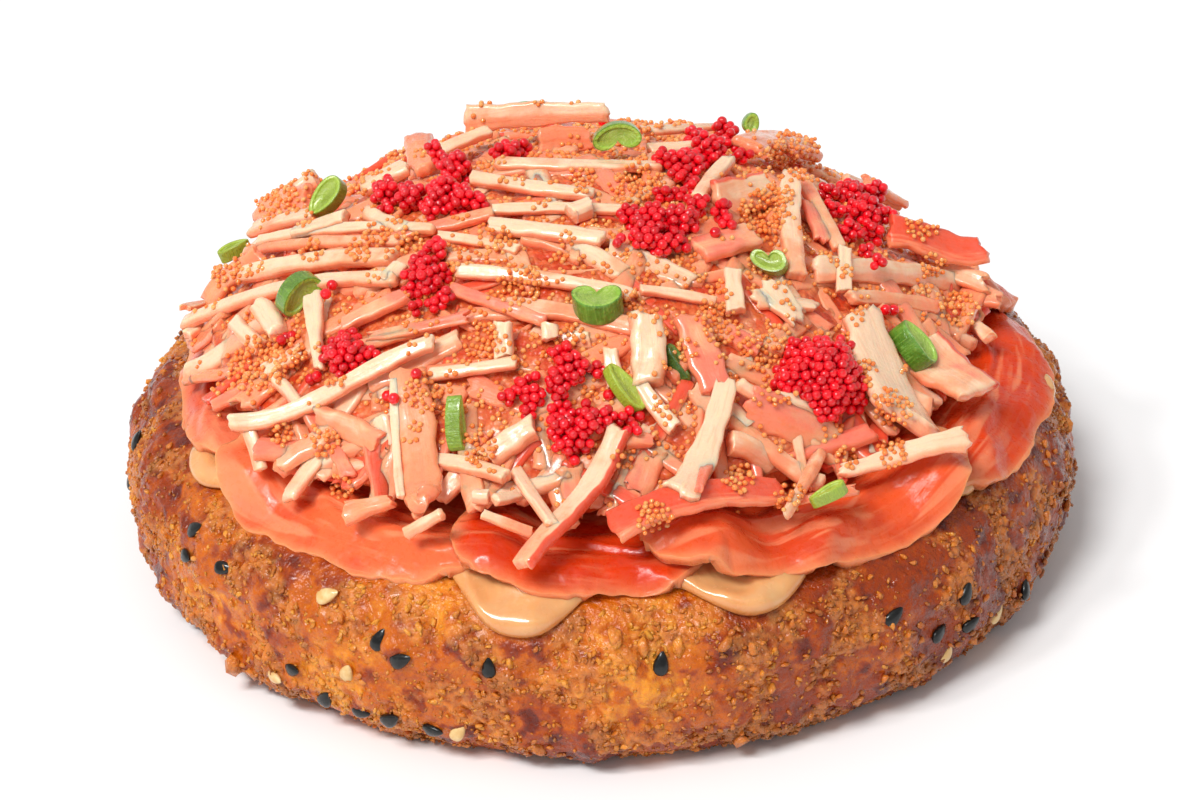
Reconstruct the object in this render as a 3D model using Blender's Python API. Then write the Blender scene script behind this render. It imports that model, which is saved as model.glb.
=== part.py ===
# Sushi pizza: a fried rice patty under mayonnaise, salmon slices and a heap of crab salad,
# with clusters of roe and cut scallion rings on the heap.
# Lengths are metres, +Z is up, and the origin is the middle of the flat underside.

import math
import random

import bpy
import bmesh
from mathutils import Matrix, Vector, noise

MM = 0.001

# Driving dimensions
PATTY_RADIUS = 56 * MM
PATTY_HEIGHT = 20.5 * MM
TOP_ROUNDING = 9 * MM
BOTTOM_ROUNDING = 6 * MM
GAP = 0.3 * MM
SHOULDER_GAP = 0.36 * MM
SLICE_GAP = 0.5 * MM
MAYO_THICKNESS = 1.1 * MM
SALMON_THICKNESS = 1.7 * MM
SALMON_START = 14 * MM
HEAP_CENTRE = (-2 * MM, 3 * MM)
HEAP_RADIUS = 48 * MM
HEAP_FOOT = 24 * MM
HEAP_RISE = 20 * MM
HEAP_ROUNDNESS = 2.4
HEAP_RIM_HEIGHT = 27.8 * MM
FILL_SHREDS = 34
SHRED_SINK = 1.6 * MM
CRUMBS = 7
SEED_SIZE = (1.5 * MM, 0.9 * MM, 0.5 * MM)
EGG_RADIUS = 0.75 * MM

# Lengths measured over the patty's skin from the middle of its top
FLAT_END = PATTY_RADIUS - TOP_ROUNDING
SHOULDER_END = FLAT_END + TOP_ROUNDING * math.pi / 2
SIDE_END = SHOULDER_END + PATTY_HEIGHT - TOP_ROUNDING - BOTTOM_ROUNDING
SKIN_END = SIDE_END + BOTTOM_ROUNDING * math.pi / 2

CRUST_COLUMNS = 72
LAYER_COLUMNS = 72
MAYO_COLUMNS = 54

# Mayonnaise lobes: middle angle, spread in degrees, and how far the lobe runs past the plain edge
MAYO_EDGE = 46 * MM
LOBE_SQUARENESS = 2.2
MAYO_LOBES = (
    (260, 9, 9.5 * MM),
    (288, 8, 8.5 * MM),
    (207, 9, 5.5 * MM),
    (324, 7, 5.0 * MM),
    (350, 9, 7.5 * MM),
    (95, 10, 4.0 * MM),
    (140, 10, 5.0 * MM),
)

# Salmon slices from the lowest to the highest: name, first angle, last angle, reach over the
# skin, number of waves along the edge and height of the waves
SALMON_SLICES = (
    ("salmon_back", 50, 115, 50.0 * MM, 2.0, 0.7 * MM),
    ("salmon_back_left", 110, 170, 50.0 * MM, 1.5, 0.8 * MM),
    ("salmon_left", 165, 215, 49.5 * MM, 2.5, 1.0 * MM),
    ("salmon_front_left", 210, 255, 51.8 * MM, 1.0, 0.6 * MM),
    ("salmon_front", 250, 285, 51.0 * MM, 1.5, 0.8 * MM),
    ("salmon_right", 320, 370, 53.2 * MM, 1.5, 0.8 * MM),
    ("salmon_front_right", 275, 325, 52.6 * MM, 3.0, 1.3 * MM),
    ("salmon_back_right", 5, 55, 52.2 * MM, 2.0, 0.8 * MM),
)

# Sesame seeds on the crust: angle, height above the base in mm, turn in degrees
BLACK_SEEDS = (
    (188, 16.0, 80), (213, 17.0, 40), (213, 14.0, 10), (220, 15.5, 20), (182, 7.0, 60),
    (244, 15.0, 70), (247, 13.5, 30), (257, 14.0, 90), (232, 7.5, 20), (236, 4.6, 60),
    (241, 4.5, 10), (245, 5.0, 40), (250, 4.3, 15), (276, 14.5, 80), (304, 14.0, 30),
    (315, 12.5, 60), (311, 9.0, 15), (316, 8.0, 20), (328, 6.5, 60), (20, 12.0, 45),
    (62, 9.0, 70), (103, 13.0, 10), (128, 8.0, 50), (158, 12.0, 30),
)
PALE_SEEDS = (
    (236, 17.5, 30), (240, 10.0, 70), (229, 5.2, 10), (253, 4.6, 60), (323, 5.4, 30),
    (313, 5.0, 80), (40, 10.0, 20), (85, 7.0, 60), (146, 14.0, 40),
)

# Roe clusters: name, place in mm, length, width, height and heading in degrees
ROE_CLUSTERS = (
    ("roe_back_left", (-19.0, 0.5), 14.0, 8.0, 4.2, 20),
    ("roe_back_small", (-9.5, 9.5), 4.6, 3.4, 2.6, 0),
    ("roe_back_right", (12.5, 5.0), 12.0, 7.5, 3.6, 15),
    ("roe_centre", (8.0, -11.5), 15.0, 9.0, 4.2, 10),
    ("roe_right", (31.0, -1.5), 9.5, 9.0, 4.0, 100),
    ("roe_mid_left", (-19.5, -16.5), 9.5, 5.6, 3.6, 65),
    ("roe_left_front", (-28.0, -24.0), 7.4, 6.6, 3.4, 0),
    ("roe_front_upper", (-5.0, -32.0), 12.0, 6.2, 3.2, 25),
    ("roe_front_lower", (-1.0, -38.5), 10.5, 6.4, 3.4, 10),
    ("roe_right_front", (24.0, -28.5), 12.0, 9.5, 4.0, -10),
)

# Scallion pieces: name, place in mm, outer width, squash, length of the cut, heading and lean
SCALLIONS = (
    ("scallion_back", (2.5, 11.5), 5.6, 0.60, 2.4, 0, 70),
    ("scallion_skyline", (17.0, 20.0), 3.4, 0.80, 1.6, 30, 80),
    ("scallion_left_back", (-32.0, 11.0), 5.2, 0.80, 2.6, 60, 55),
    ("scallion_left", (-34.5, -9.5), 5.2, 0.70, 2.6, 40, 60),
    ("scallion_middle", (-0.5, -25.5), 5.6, 0.70, 2.8, -10, 45),
    ("scallion_right_middle", (19.5, -14.5), 4.4, 0.80, 2.0, 20, 40),
    ("scallion_right", (35.5, -20.5), 5.8, 0.72, 4.0, -35, 55),
    ("scallion_front", (3.0, -33.5), 5.4, 0.62, 2.6, 110, 60),
    ("scallion_front_left", (-15.7, -36.0), 5.2, 0.45, 2.2, 95, 80),
    ("scallion_dark", (8.5, -30.5), 3.6, 0.60, 1.8, 100, 75),
    ("scallion_low_right", (25.5, -38.5), 4.4, 0.50, 1.6, 30, 25),
    ("scallion_left_rim", (-42.5, 14.0), 4.2, 0.60, 1.8, 60, 65),
    ("scallion_far_back", (-8.0, 33.0), 5.0, 0.75, 2.4, 20, 60),
)

# Crab shreds that stand out: name, start, end, width, and lift above the heap at each end, in mm
CRAB_SHREDS = (
    ("back block", (-19, 21), (2, 23), 3.2, 2.2, 2.6),
    ("back left chunk", (-25, 5), (-21, 9), 3.4, 1.8, 1.6),
    ("back short", (-18, 11), (-13, 15), 1.8, 1.2, 1.4),
    ("upper long", (-11, 5), (8, 2), 1.8, 1.4, 1.0),
    ("upper second", (-13, 0), (0, -5), 1.8, 1.0, 1.4),
    ("upper third", (-12, -6), (2, -8), 1.6, 1.0, 1.2),
    ("upper fourth", (-12, -10), (0, -13), 2.0, 0.8, 1.4),
    ("roe rest", (-26, -7), (-12, -9), 1.8, 1.0, 1.2),
    ("big arc", (-16, -17), (4, -21), 2.0, 1.0, 1.2),
    ("broad middle", (-11, -21), (-5, -24), 2.6, 0.6, 0.9),
    ("left slope", (-16, -20), (-8, -26), 1.8, 0.9, 1.0),
    ("long diagonal", (-41, -22), (-33, -20), 2.2, 1.4, 1.8),
    ("front left stub", (-19, -30), (-11, -28), 1.8, 0.8, 1.0),
    ("tall block", (5, -25), (5, -29), 3.6, 2.2, 0.8),
    ("left upper", (-42, 2), (-23, -7), 1.6, 1.2, 1.0),
    ("left middle", (-41, -2), (-38, -4), 2.0, 1.0, 1.0),
    ("left low", (-48, 4), (-40, -4), 2.0, 0.8, 1.4),
    ("left back", (-41, 8), (-30, 4), 1.8, 0.9, 1.2),
    ("left back pale", (-35, 3), (-26, -1), 1.8, 1.2, 1.2),
    ("smooth pale", (-28, 8), (-22, 10), 2.6, 1.0, 1.3),
    ("upright left", (-30, -13), (-31, -19), 2.4, 1.6, 0.8),
    ("fork left", (-41, -10), (-38, -17), 2.0, 1.6, 0.8),
    ("fork right", (-39, -13), (-35, -18), 2.4, 1.2, 0.8),
    ("roe side", (-26, -20), (-23, -12), 1.8, 0.7, 0.9),
    ("front plate", (-21, -29), (-20, -42), 4.6, 0.8, 0.9),
    ("front plate side", (-25, -31), (-25, -39), 2.4, 0.9, 0.6),
    ("front cream", (-13, -38), (-9, -42), 2.1, 0.8, 0.9),
    ("front thin", (-10, -38), (-6, -45), 1.7, 0.9, 0.6),
    ("front diagonal", (7, -39), (-6, -50), 3.0, 1.2, 0.6),
    ("front left low", (-22, -44), (-20, -33), 1.8, 0.7, 0.8),
    ("front white", (15, -30), (9, -42), 3.0, 1.2, 1.0),
    ("front tent", (13, -34), (20, -36), 2.0, 1.6, 0.8),
    ("front right", (18, -39), (30, -33), 2.6, 0.9, 0.9),
    ("front red strip", (1, -45), (19, -42), 3.8, 1.0, 0.9),
    ("right low", (28, -37), (41, -29), 2.8, 0.7, 0.8),
    ("fan plate", (33, -26), (37, -31), 5.5, 1.2, 0.8),
    ("skin plate", (40, -13), (46, -17), 5.6, 1.2, 0.8),
    ("orange stub", (44, -1), (40, -9), 3.4, 1.0, 1.2),
    ("right upper", (32, -8), (42, 1), 2.8, 1.0, 0.9),
    ("right thin", (27, -13), (36, -9), 1.7, 0.9, 1.0),
    ("right stand", (24, -9), (24, -16), 1.9, 2.2, 0.8),
    ("red right strip", (35, 6), (46, 12), 3.6, 1.0, 1.4),
    ("centre plate", (19, -8), (20, 4), 4.4, 1.4, 1.2),
    ("centre tall", (24, 3), (25, -7), 2.4, 3.0, 0.9),
    ("centre low plate", (13, -19), (17, -18), 3.4, 0.8, 1.0),
    ("white triangle", (18, -21), (25, -19), 4.2, 1.0, 1.0),
    ("pink down", (11, -22), (15, -28), 2.6, 1.2, 0.8),
    ("folded orange", (19, 13), (27, 12), 4.6, 1.6, 1.4),
    ("back right", (29, 16), (36, 14), 1.8, 1.2, 1.2),
)

# Loose red eggs, singly or in short rows beside the clusters, in mm
LOOSE_EGGS = (
    (-36.5, -18.2), (-35.2, -18.0), (-32.0, -26.6), (-30.6, -27.0), (-23.5, -27.6), (-29.4, -8.5),
    (-31.0, -10.5), (0.8, -30.4), (9.0, -36.6), (0.6, 14.6), (30.8, -14.2), (12.6, -17.6),
)


def clear_objects():
    for item in list(bpy.data.objects):
        bpy.data.objects.remove(item)


def make_material(name, colour, roughness):
    material = bpy.data.materials.new(name)
    material.use_nodes = True
    shader = material.node_tree.nodes["Principled BSDF"]
    shader.inputs["Base Color"].default_value = (*colour, 1)
    shader.inputs["Roughness"].default_value = roughness
    shader.inputs["Metallic"].default_value = 0.0
    return material


def add_object(name, bm, material):
    """Close the bmesh into a named, smooth shaded object."""
    bmesh.ops.recalc_face_normals(bm, faces=bm.faces)
    mesh = bpy.data.meshes.new(name)
    bm.to_mesh(mesh)
    bm.free()
    mesh.materials.append(material)
    mesh.shade_smooth()
    mesh.set_sharp_from_angle(angle=math.radians(40))
    item = bpy.data.objects.new(name, mesh)
    bpy.context.scene.collection.objects.link(item)
    return item


def smooth_step(value):
    value = min(max(value, 0.0), 1.0)
    return value * value * (3 - 2 * value)


def skin_point(angle, run, offset=0.0):
    """Point at a length run over the patty's skin from its top middle, raised by the offset."""
    if run <= FLAT_END:
        radius = run
        height = PATTY_HEIGHT + offset
    elif run <= SHOULDER_END:
        turn = (run - FLAT_END) / TOP_ROUNDING
        radius = FLAT_END + (TOP_ROUNDING + offset) * math.sin(turn)
        height = PATTY_HEIGHT - TOP_ROUNDING + (TOP_ROUNDING + offset) * math.cos(turn)
    elif run <= SIDE_END:
        radius = PATTY_RADIUS + offset
        height = PATTY_HEIGHT - TOP_ROUNDING - (run - SHOULDER_END)
    else:
        turn = (run - SIDE_END) / BOTTOM_ROUNDING
        radius = PATTY_RADIUS - BOTTOM_ROUNDING + (BOTTOM_ROUNDING + offset) * math.cos(turn)
        height = BOTTOM_ROUNDING - (BOTTOM_ROUNDING + offset) * math.sin(turn)
    return Vector((radius * math.cos(angle), radius * math.sin(angle), max(height, 0.0)))


def angle_apart(first, second):
    """Signed difference of two angles in degrees, from -180 to 180."""
    return (first - second + 180) % 360 - 180


def mayo_edge(angle):
    degrees = math.degrees(angle)
    run = MAYO_EDGE
    for middle, spread, length in MAYO_LOBES:
        run += length * math.exp(-abs(angle_apart(degrees, middle) / spread) ** LOBE_SQUARENESS)
    return run


def salmon_reach(entry, angle):
    """Outer edge of one slice, rounded off towards its two ends."""
    first, last, reach = entry[1:4]
    middle = (first + last) / 2
    across = angle_apart(math.degrees(angle), middle) / ((last - first) / 2)
    uneven = 0.5 * MM * math.sin(5 * angle + first)
    return reach + uneven - 4 * MM * min(abs(across), 1.0) ** 4


def salmon_presence(entry, angle, run):
    """1 over a slice's own area, fading to 0 beside it."""
    first, last = entry[1:3]
    middle = (first + last) / 2
    outside = abs(angle_apart(math.degrees(angle), middle)) - (last - first) / 2
    beside = 1 - smooth_step(outside / 8)
    beyond = 1 - smooth_step((run - salmon_reach(entry, angle) - 1.5 * MM) / (4 * MM))
    return beside * beyond


def salmon_wave(entry, angle, run):
    """Height of the waves in a slice, which grow towards its outer edge."""
    first, last = entry[1:3]
    waves, height = entry[4:6]
    along = angle_apart(math.degrees(angle), first) / (last - first)
    swing = 0.5 + 0.5 * math.sin(2 * math.pi * waves * along + first)
    return height * swing * smooth_step((run - 41 * MM) / (9 * MM))


def crust_gap(run):
    """Gap over the crust, wider on the shoulder, where flat faces cut the curve short."""
    return GAP + SHOULDER_GAP * smooth_step((run - 44 * MM) / (4 * MM))


def salmon_floor(index, angle, run):
    """Offset from the patty's skin at which slice number index lies on what is under it."""
    under_edge = 1 - smooth_step((run - mayo_edge(angle) - 0.5 * MM) / (3.5 * MM))
    offset = crust_gap(run) + (MAYO_THICKNESS + SLICE_GAP) * under_edge
    for entry in SALMON_SLICES[:index]:
        thickness = SALMON_THICKNESS + SLICE_GAP + salmon_wave(entry, angle, run)
        offset += thickness * salmon_presence(entry, angle, run)
    return offset


def salmon_top(angle, run):
    return salmon_floor(len(SALMON_SLICES), angle, run)


def covered_run(angle):
    """Length of skin, from the middle outwards, that the mayonnaise or the salmon covers."""
    degrees = math.degrees(angle)
    column = 2 * math.pi / MAYO_COLUMNS
    covered = max(mayo_edge(angle + turn) for turn in (-column, 0, column))
    for entry in SALMON_SLICES:
        middle = (entry[1] + entry[2]) / 2
        if abs(angle_apart(degrees, middle)) <= (entry[2] - entry[1]) / 2 + 4:
            covered = max(covered, salmon_reach(entry, angle))
    return covered


def crust_relief(angle, run):
    """Crags and blisters of the fried crust, held flat under the layers and at the base."""
    place = skin_point(angle, run) / MM
    broad = noise.noise(place / 9.0) * 0.9
    fine = noise.noise(place / 3.6 + Vector((7.0, 3.0, 1.0))) * 0.9
    crest = max(noise.noise(place / 5.0 - Vector((4.0, 9.0, 2.0))), 0.0) * 1.2
    clear = smooth_step((run - covered_run(angle) - 1.8 * MM) / (3 * MM))
    base = 1 - smooth_step((run - SKIN_END + 5 * MM) / (5 * MM))
    return (broad + fine + crest - 0.3) * MM * clear * base


def heap_top(x, y):
    """Height of the bare core of the crab salad, not counting the shreds on it."""
    away = math.hypot(x - HEAP_CENTRE[0], y - HEAP_CENTRE[1]) / HEAP_RADIUS
    return HEAP_FOOT + HEAP_RISE * (1 - away ** HEAP_ROUNDNESS)


def heap_hollow(x, y, areas):
    """Depth of the dips in the core between the toppings."""
    if not is_clear(x, y, 0.5 * MM, areas):
        return 0.0
    return (0.6 + 0.6 * noise.noise(Vector((x, y, 0)) / (9 * MM))) * MM


def heap_rim(angle):
    """Distance from the axis at which the core ends."""
    fall = 1 - (HEAP_RIM_HEIGHT - HEAP_FOOT) / HEAP_RISE
    radius = HEAP_RADIUS * fall ** (1 / HEAP_ROUNDNESS)
    along = HEAP_CENTRE[0] * math.cos(angle) + HEAP_CENTRE[1] * math.sin(angle)
    apart = math.hypot(*HEAP_CENTRE)
    rim = along + math.sqrt(radius ** 2 - apart ** 2 + along ** 2)
    return min(rim, 45.5 * MM)


def add_quad(bm, a, b, c, d):
    """Two triangles that always share the edge from a to c."""
    bm.faces.new((a, b, c))
    bm.faces.new((a, c, d))


def add_sheet(bm, angles, rows, upper, lower, closed, lower_rows=None):
    """Solid between an upper and a lower surface, each given by an angle and a row number."""
    lower_rows = lower_rows or rows
    top = [[bm.verts.new(upper(angle, row)) for row in range(rows)] for angle in angles]
    low = [[bm.verts.new(lower(angle, row)) for row in range(lower_rows)] for angle in angles]
    count = len(angles)
    pairs = [(i, (i + 1) % count) for i in range(count if closed else count - 1)]
    for i, j in pairs:
        for k in range(rows - 1):
            add_quad(bm, top[i][k], top[i][k + 1], top[j][k + 1], top[j][k])
        for k in range(lower_rows - 1):
            add_quad(bm, low[i][k], low[j][k], low[j][k + 1], low[i][k + 1])
        add_quad(bm, top[i][-1], low[i][-1], low[j][-1], top[j][-1])
        if not closed:
            add_quad(bm, top[i][0], top[j][0], low[j][0], low[i][0])
    if closed:
        middle_top = sum((line[0].co for line in top), Vector()) / count
        middle_low = sum((line[0].co for line in low), Vector()) / count
        centre_top = bm.verts.new(middle_top)
        centre_low = bm.verts.new(middle_low)
        for i, j in pairs:
            bm.faces.new((centre_top, top[i][0], top[j][0]))
            bm.faces.new((centre_low, low[j][0], low[i][0]))
        return
    for k in range(rows - 1):
        add_quad(bm, top[0][k], low[0][k], low[0][k + 1], top[0][k + 1])
        add_quad(bm, top[-1][k], top[-1][k + 1], low[-1][k + 1], low[-1][k])


def even_angles(count):
    return [2 * math.pi * i / count for i in range(count)]


def keep_main_body(item):
    """Keep the largest connected shell, which drops loose scraps and sealed hollows."""
    bm = bmesh.new()
    bm.from_mesh(item.data)
    bmesh.ops.dissolve_degenerate(bm, edges=bm.edges, dist=0.002 * MM)
    bmesh.ops.triangulate(bm, faces=bm.faces)
    groups = []
    seen = set()
    for start in bm.verts:
        if start in seen:
            continue
        seen.add(start)
        group = [start]
        for vert in group:
            for edge in vert.link_edges:
                other = edge.other_vert(vert)
                if other not in seen:
                    seen.add(other)
                    group.append(other)
        groups.append(group)
    groups.sort(key=len, reverse=True)
    for group in groups[1:]:
        bmesh.ops.delete(bm, geom=group, context="VERTS")
    bm.to_mesh(item.data)
    bm.free()


def fuse(item, pieces):
    """Join the pieces to the item by one union on a collection, then remove them."""
    group = bpy.data.collections.new(item.name + "_pieces")
    for piece in pieces:
        group.objects.link(piece)
    union = item.modifiers.new("fuse", "BOOLEAN")
    union.operation = "UNION"
    union.operand_type = "COLLECTION"
    union.collection = group
    union.solver = "EXACT"
    bpy.context.view_layer.update()
    shape = item.evaluated_get(bpy.context.evaluated_depsgraph_get())
    mesh = bpy.data.meshes.new_from_object(shape)
    item.modifiers.clear()
    item.data = mesh
    for piece in pieces:
        bpy.data.objects.remove(piece)
    bpy.data.collections.remove(group)
    keep_main_body(item)
    item.data.shade_smooth()
    item.data.set_sharp_from_angle(angle=math.radians(40))


def skin_frame(angle, height):
    """Place and axes on the patty's side at a height: along the rim, up the side and outwards."""
    run = FLAT_END
    while skin_point(angle, run).z > height and run < SKIN_END:
        run += 0.1 * MM
    place = skin_point(angle, run, crust_relief(angle, run))
    along = Vector((-math.sin(angle), math.cos(angle), 0))
    upward = (skin_point(angle, run - 0.2 * MM) - skin_point(angle, run + 0.2 * MM)).normalized()
    return place, along, upward, along.cross(upward).normalized()


def make_seed(angle, height, turn, material):
    """One drop shaped seed lying flat on the crust, a third of it sunk in."""
    place, along, upward, outward = skin_frame(math.radians(angle), height * MM)
    bm = bmesh.new()
    bmesh.ops.create_uvsphere(bm, u_segments=5, v_segments=4, radius=1.0)
    lie = Matrix.Rotation(math.radians(90), 3, "Y")
    for vert in bm.verts:
        shape = lie @ vert.co
        narrow = 1 - 0.35 * shape.x
        vert.co = Vector((shape.x * SEED_SIZE[0], shape.y * SEED_SIZE[1] * narrow,
                          shape.z * SEED_SIZE[2]))
    turned = Matrix.Rotation(math.radians(turn), 3, "Z")
    axes = Matrix((along, upward, outward)).transposed()
    for vert in bm.verts:
        vert.co = place + axes @ (turned @ vert.co) + outward * 0.2 * MM
    return add_object("seed", bm, material)


def make_crumb(angle, height, size, material):
    """One angular crumb standing out of the crust."""
    place, along, upward, outward = skin_frame(angle, height)
    bm = bmesh.new()
    bmesh.ops.create_icosphere(bm, subdivisions=1, radius=size)
    for vert in bm.verts:
        push = 0.7 + 0.6 * noise.noise(vert.co / size + place / MM)
        vert.co = place + vert.co * push + outward * size * 0.35
    return add_object("crumb", bm, material)


def make_patty(crust, black, pale):
    rows = [run * MM for run in (20, 44, 47.5, 50.5, 53.5, 56.5, 59.2)]
    side_start = 62 * MM
    side_rows = 6
    for step in range(side_rows):
        rows.append(side_start + (SKIN_END - side_start) * step / (side_rows - 1))
    angles = even_angles(CRUST_COLUMNS)
    bm = bmesh.new()
    lines = []
    for angle in angles:
        line = [bm.verts.new(skin_point(angle, run, crust_relief(angle, run))) for run in rows]
        line.append(bm.verts.new((line[-1].co.x / 2, line[-1].co.y / 2, 0)))
        lines.append(line)
    top = bm.verts.new((0, 0, PATTY_HEIGHT))
    base = bm.verts.new((0, 0, 0))
    for i, line in enumerate(lines):
        following = lines[(i + 1) % len(lines)]
        bm.faces.new((top, line[0], following[0]))
        bm.faces.new((base, following[-1], line[-1]))
        for k in range(len(line) - 1):
            add_quad(bm, line[k], line[k + 1], following[k + 1], following[k])
    patty = add_object("rice_patty", bm, crust)
    pieces = [make_seed(*seed, black) for seed in BLACK_SEEDS]
    pieces += [make_seed(*seed, pale) for seed in PALE_SEEDS]
    draw = random.Random(5)
    for number in range(CRUMBS):
        angle = math.radians(number * 137.5 + 12)
        height = draw.uniform(5, 12) * MM
        pieces.append(make_crumb(angle, height, draw.uniform(0.9, 1.5) * MM, crust))
    fuse(patty, pieces)


def make_mayo(material):
    shares = (0.4, 0.66, 0.87, 1.0)

    def run_at(angle, row):
        if row < 2:
            return (22 * MM, 42 * MM)[row]
        return 42 * MM + (mayo_edge(angle) - 42 * MM) * shares[row - 2]

    def upper(angle, row):
        run = run_at(angle, row)
        thickness = MAYO_THICKNESS * (1, 1, 1, 1, 1, 0.4)[row]
        drip = 0.6 * MM * smooth_step((run - 53.4 * MM) / (2 * MM))
        return skin_point(angle, run, crust_gap(run) + thickness + drip)

    def lower(angle, row):
        run = run_at(angle, row)
        return skin_point(angle, run, crust_gap(run))

    bm = bmesh.new()
    add_sheet(bm, even_angles(MAYO_COLUMNS), 6, upper, lower, closed=True)
    add_object("mayo_layer", bm, material)


def make_salmon(index, material):
    entry = SALMON_SLICES[index]
    shares = (0.4, 0.7, 0.92, 1.0)

    def run_at(angle, row):
        if row < 2:
            return (SALMON_START, 41 * MM)[row]
        return 41 * MM + (salmon_reach(entry, angle) - 41 * MM) * shares[row - 2]

    def lower(angle, row):
        run = run_at(angle, row)
        floor = salmon_floor(index, angle, run) + salmon_wave(entry, angle, run)
        return skin_point(angle, run, floor)

    def upper(angle, row):
        run = run_at(angle, row)
        floor = salmon_floor(index, angle, run) + salmon_wave(entry, angle, run)
        return skin_point(angle, run, floor + SALMON_THICKNESS * (1, 1, 1, 1, 0.95, 0.4)[row])

    step = 360 // LAYER_COLUMNS
    angles = [math.radians(degrees) for degrees in range(entry[1], entry[2] + step, step)]
    bm = bmesh.new()
    add_sheet(bm, angles, 6, upper, lower, closed=False)
    add_object(entry[0], bm, material)


def topping_areas():
    """Circles on the heap, as x, y and radius, that the crab shreds keep out of."""
    areas = []
    for _, place, length, width, _, heading in ROE_CLUSTERS:
        direction = Vector((math.cos(math.radians(heading)), math.sin(math.radians(heading))))
        side = max(length - width, 0.0) / 2
        for share in (-1, 0, 1):
            centre = Vector(place) + direction * side * share
            areas.append((centre.x * MM, centre.y * MM, (width / 2 + 0.7) * MM))
    for _, place, width, _, length, _, _ in SCALLIONS:
        areas.append((place[0] * MM, place[1] * MM, (max(width, length) / 2 + 0.6) * MM))
    return areas


def is_clear(x, y, margin, areas):
    return all(math.hypot(x - area[0], y - area[1]) > area[2] + margin for area in areas)


def on_core(x, y):
    return math.hypot(x, y) < heap_rim(math.atan2(y, x)) - 1 * MM


def rest_height(x, y):
    """Height of what a piece lies on: the core, or the salmon beyond the core's rim."""
    if on_core(x, y):
        return heap_top(x, y)
    angle = math.atan2(y, x) % (2 * math.pi)
    away = math.hypot(x, y)
    offset = max(salmon_top(angle + turn, min(away, 52 * MM)) for turn in (-0.06, 0, 0.06))
    over = TOP_ROUNDING + offset
    drop = max(away - FLAT_END, 0.0)
    return PATTY_HEIGHT - TOP_ROUNDING + math.sqrt(over ** 2 - drop ** 2) + 0.5 * MM


def shorten(start, end, margin, areas):
    """The longest clear stretch between two places on the heap, or None."""
    steps = 24
    best = (0, -1)
    first = None
    for step in range(steps + 1):
        spot = start.lerp(end, step / steps)
        if is_clear(spot.x, spot.y, margin, areas):
            if first is None:
                first = step
            if step - first > best[1] - best[0]:
                best = (first, step)
        else:
            first = None
    if (end - start).length * (best[1] - best[0]) / steps < 3 * MM:
        return None
    return start.lerp(end, best[0] / steps), start.lerp(end, best[1] / steps)


def make_shred(start, end, width, lifts, material):
    """A square cut strip over the heap from start to end, its underside sunk in the core."""
    parts = 2 if (end - start).length < 12 * MM else 3
    heading = (end - start).normalized()
    side = Vector((-heading.y, heading.x, 0)) * width / 2
    bm = bmesh.new()
    rings = []
    for part in range(parts + 1):
        share = part / parts
        spot = start.lerp(end, share)
        edges = (spot - side, spot, spot + side)
        under = max(rest_height(edge.x, edge.y) for edge in edges)
        sunk = all(on_core(edge.x, edge.y) for edge in edges)
        lift = lifts[0] + (lifts[1] - lifts[0]) * share
        low = under - SHRED_SINK if sunk else under
        high = under + lift + (0.5 * MM if sunk else 0.9 * MM)
        corners = ((edges[0], low), (edges[2], low), (edges[2], high), (edges[0], high))
        rings.append([bm.verts.new((edge.x, edge.y, level)) for edge, level in corners])
    for ring, following in zip(rings, rings[1:]):
        for k in range(4):
            add_quad(bm, ring[k], following[k], following[(k + 1) % 4], ring[(k + 1) % 4])
    add_quad(bm, *rings[0])
    add_quad(bm, *reversed(rings[-1]))
    return add_object("shred", bm, material)


def make_loose_egg(x, y, radius, material):
    bm = bmesh.new()
    bmesh.ops.create_icosphere(bm, subdivisions=1, radius=radius)
    bmesh.ops.translate(bm, verts=bm.verts, vec=(x, y, heap_top(x, y) + radius * 0.6))
    return add_object("egg", bm, material)


def make_crab_salad(crab, red):
    top_shares = (0.2, 0.42, 0.62, 0.78, 0.9, 1.0)
    low_shares = (0.28, 0.9, 1.0)
    areas = topping_areas()

    def upper(angle, row):
        away = heap_rim(angle) * top_shares[row]
        x = away * math.cos(angle)
        y = away * math.sin(angle)
        hollow = heap_hollow(x, y, areas) if 0 < row < len(top_shares) - 1 else 0.0
        return Vector((x, y, heap_top(x, y) - hollow))

    def lower(angle, row):
        away = heap_rim(angle) * low_shares[row]
        return skin_point(angle, away, salmon_top(angle, away) + 0.15 * MM)

    bm = bmesh.new()
    add_sheet(bm, even_angles(LAYER_COLUMNS), len(top_shares), upper, lower, closed=True,
              lower_rows=len(low_shares))
    salad = add_object("crab_salad", bm, crab)
    pieces = []
    for _, start, end, width, first_lift, last_lift in CRAB_SHREDS:
        ends = shorten(Vector((*start, 0)) * MM, Vector((*end, 0)) * MM, width * MM / 2, areas)
        if ends:
            lifts = (first_lift * MM, last_lift * MM)
            pieces.append(make_shred(*ends, width * MM, lifts, crab))
    draw = random.Random(11)
    for number in range(FILL_SHREDS):
        turn = number * 2.4
        away = 45 * MM * math.sqrt((number + 0.5) / FILL_SHREDS)
        middle = Vector((away * math.cos(turn), away * math.sin(turn), 0))
        length = draw.uniform(7, 13) * MM
        width = draw.uniform(1.7, 2.8) * MM
        heading = draw.uniform(-0.6, 0.6) + (turn if away > 32 * MM else 0.0)
        half = Vector((math.cos(heading), math.sin(heading), 0)) * length / 2
        lifts = (draw.uniform(0.5, 1.3) * MM, draw.uniform(0.5, 1.3) * MM)
        ends = shorten(middle - half, middle + half, width / 2, areas)
        if ends:
            pieces.append(make_shred(*ends, width, lifts, crab))
    for x, y in LOOSE_EGGS:
        if is_clear(x * MM, y * MM, EGG_RADIUS, areas):
            pieces.append(make_loose_egg(x * MM, y * MM, EGG_RADIUS, red))
    fuse(salad, pieces)


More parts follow.
